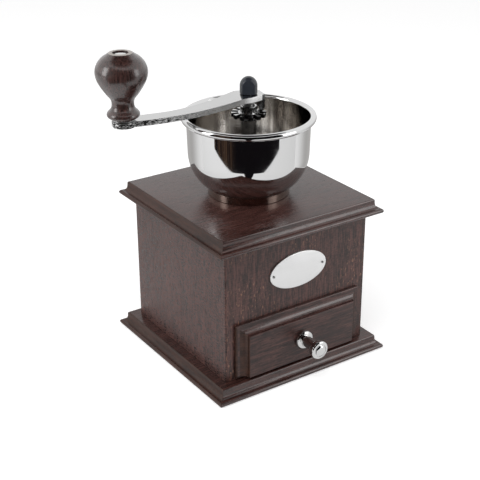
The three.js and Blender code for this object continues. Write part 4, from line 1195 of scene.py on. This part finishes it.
# A glowing sheet that only mirrors see: a painted reflection
def onlyMirrored(name, shape, pale=False):
    card = staged(name, scaled(shape, mm), paintedReflectionFinish(name, pale))
    card.rotation_euler.z = math.radians(camera["yaw"])
    card.visible_camera = False
    card.visible_diffuse = False
    card.visible_shadow = False
    card.visible_transmission = False


def makeCard(name, card):
    lower, upper = [], []
    for i in range(cardSteps + 1):
        angle = card["start"] + (card["end"] - card["start"]) * i / cardSteps
        side = card["end"] if angle > 0 else card["start"]
        low = card["low"] + card["rise"] * (angle / side) ** 2
        lower.append(around(card["radius"], angle, low))
        upper.append(around(card["radius"], angle, card["top"]))
    shape = bmesh.new()
    _, one = ring(shape, lower, closed=False)
    _, other = ring(shape, upper, closed=False)
    bmesh.ops.bridge_loops(shape, edges=one + other)
    onlyMirrored(name, shape, card["pale"])


def makeTongue():
    left = [around(radius, -half, tongue["level"]) for radius, half in tongue["edge"]]
    right = [around(radius, half, tongue["level"]) for radius, half in tongue["edge"]]
    shape = bmesh.new()
    corners, _ = ring(shape, left + right[::-1])
    shape.faces.new(corners)
    onlyMirrored("darkTongue", shape)


def makeCeiling():
    shape = bmesh.new()
    bmesh.ops.create_circle(shape, cap_ends=True, radius=ceiling["radius"], segments=64)
    onlyMirrored("darkCeiling", moved(shape, (0, 0, ceiling["level"])))


def makeLamp(name, lamp):
    light = bpy.data.lights.new(name, "AREA")
    light.shape = "RECTANGLE"
    light.size, light.size_y = lamp["size"]
    light.energy = lamp["power"]
    made = placed(name, light)
    made.location = lamp["place"]
    beam = Vector(studio["lampTarget"]) - Vector(lamp["place"])
    made.rotation_euler = beam.to_track_quat("-Z", "Y").to_euler()
    made.visible_camera = False
    made.visible_glossy = lamp["mirrored"]


# The photo's view: angles in degrees, the rest in millimetres, clipping in metres

camera = dict(target=(-4.86, 3.3, 74.04), distance=747.2, yaw=-33.844, pitch=25.216, roll=-0.25,
              lens=82.71, sensor=36, clip=(0.05, 50))


def makeCamera():
    data = bpy.data.cameras.new("camera")
    data.lens = camera["lens"]
    data.sensor_width = camera["sensor"]
    data.clip_start, data.clip_end = camera["clip"]
    made = placed("camera", data)
    yaw, pitch = math.radians(camera["yaw"]), math.radians(camera["pitch"])
    back = Vector((math.sin(yaw) * math.cos(pitch), -math.cos(yaw) * math.cos(pitch), math.sin(pitch)))
    made.location = (Vector(camera["target"]) + back * camera["distance"]) * mm
    roll = Quaternion((0, 0, 1), math.radians(camera["roll"]))
    made.rotation_euler = ((-back).to_track_quat("-Z", "Y") @ roll).to_euler()
    bpy.context.scene.camera = made


bpy.context.scene.view_settings.view_transform = "Standard"
makeWorld()
makeFloor()
for name, card in cards.items():
    makeCard(name, card)
makeTongue()
makeCeiling()
for name, lamp in lamps.items():
    makeLamp(name, lamp)
makeCamera()
print("studio made")
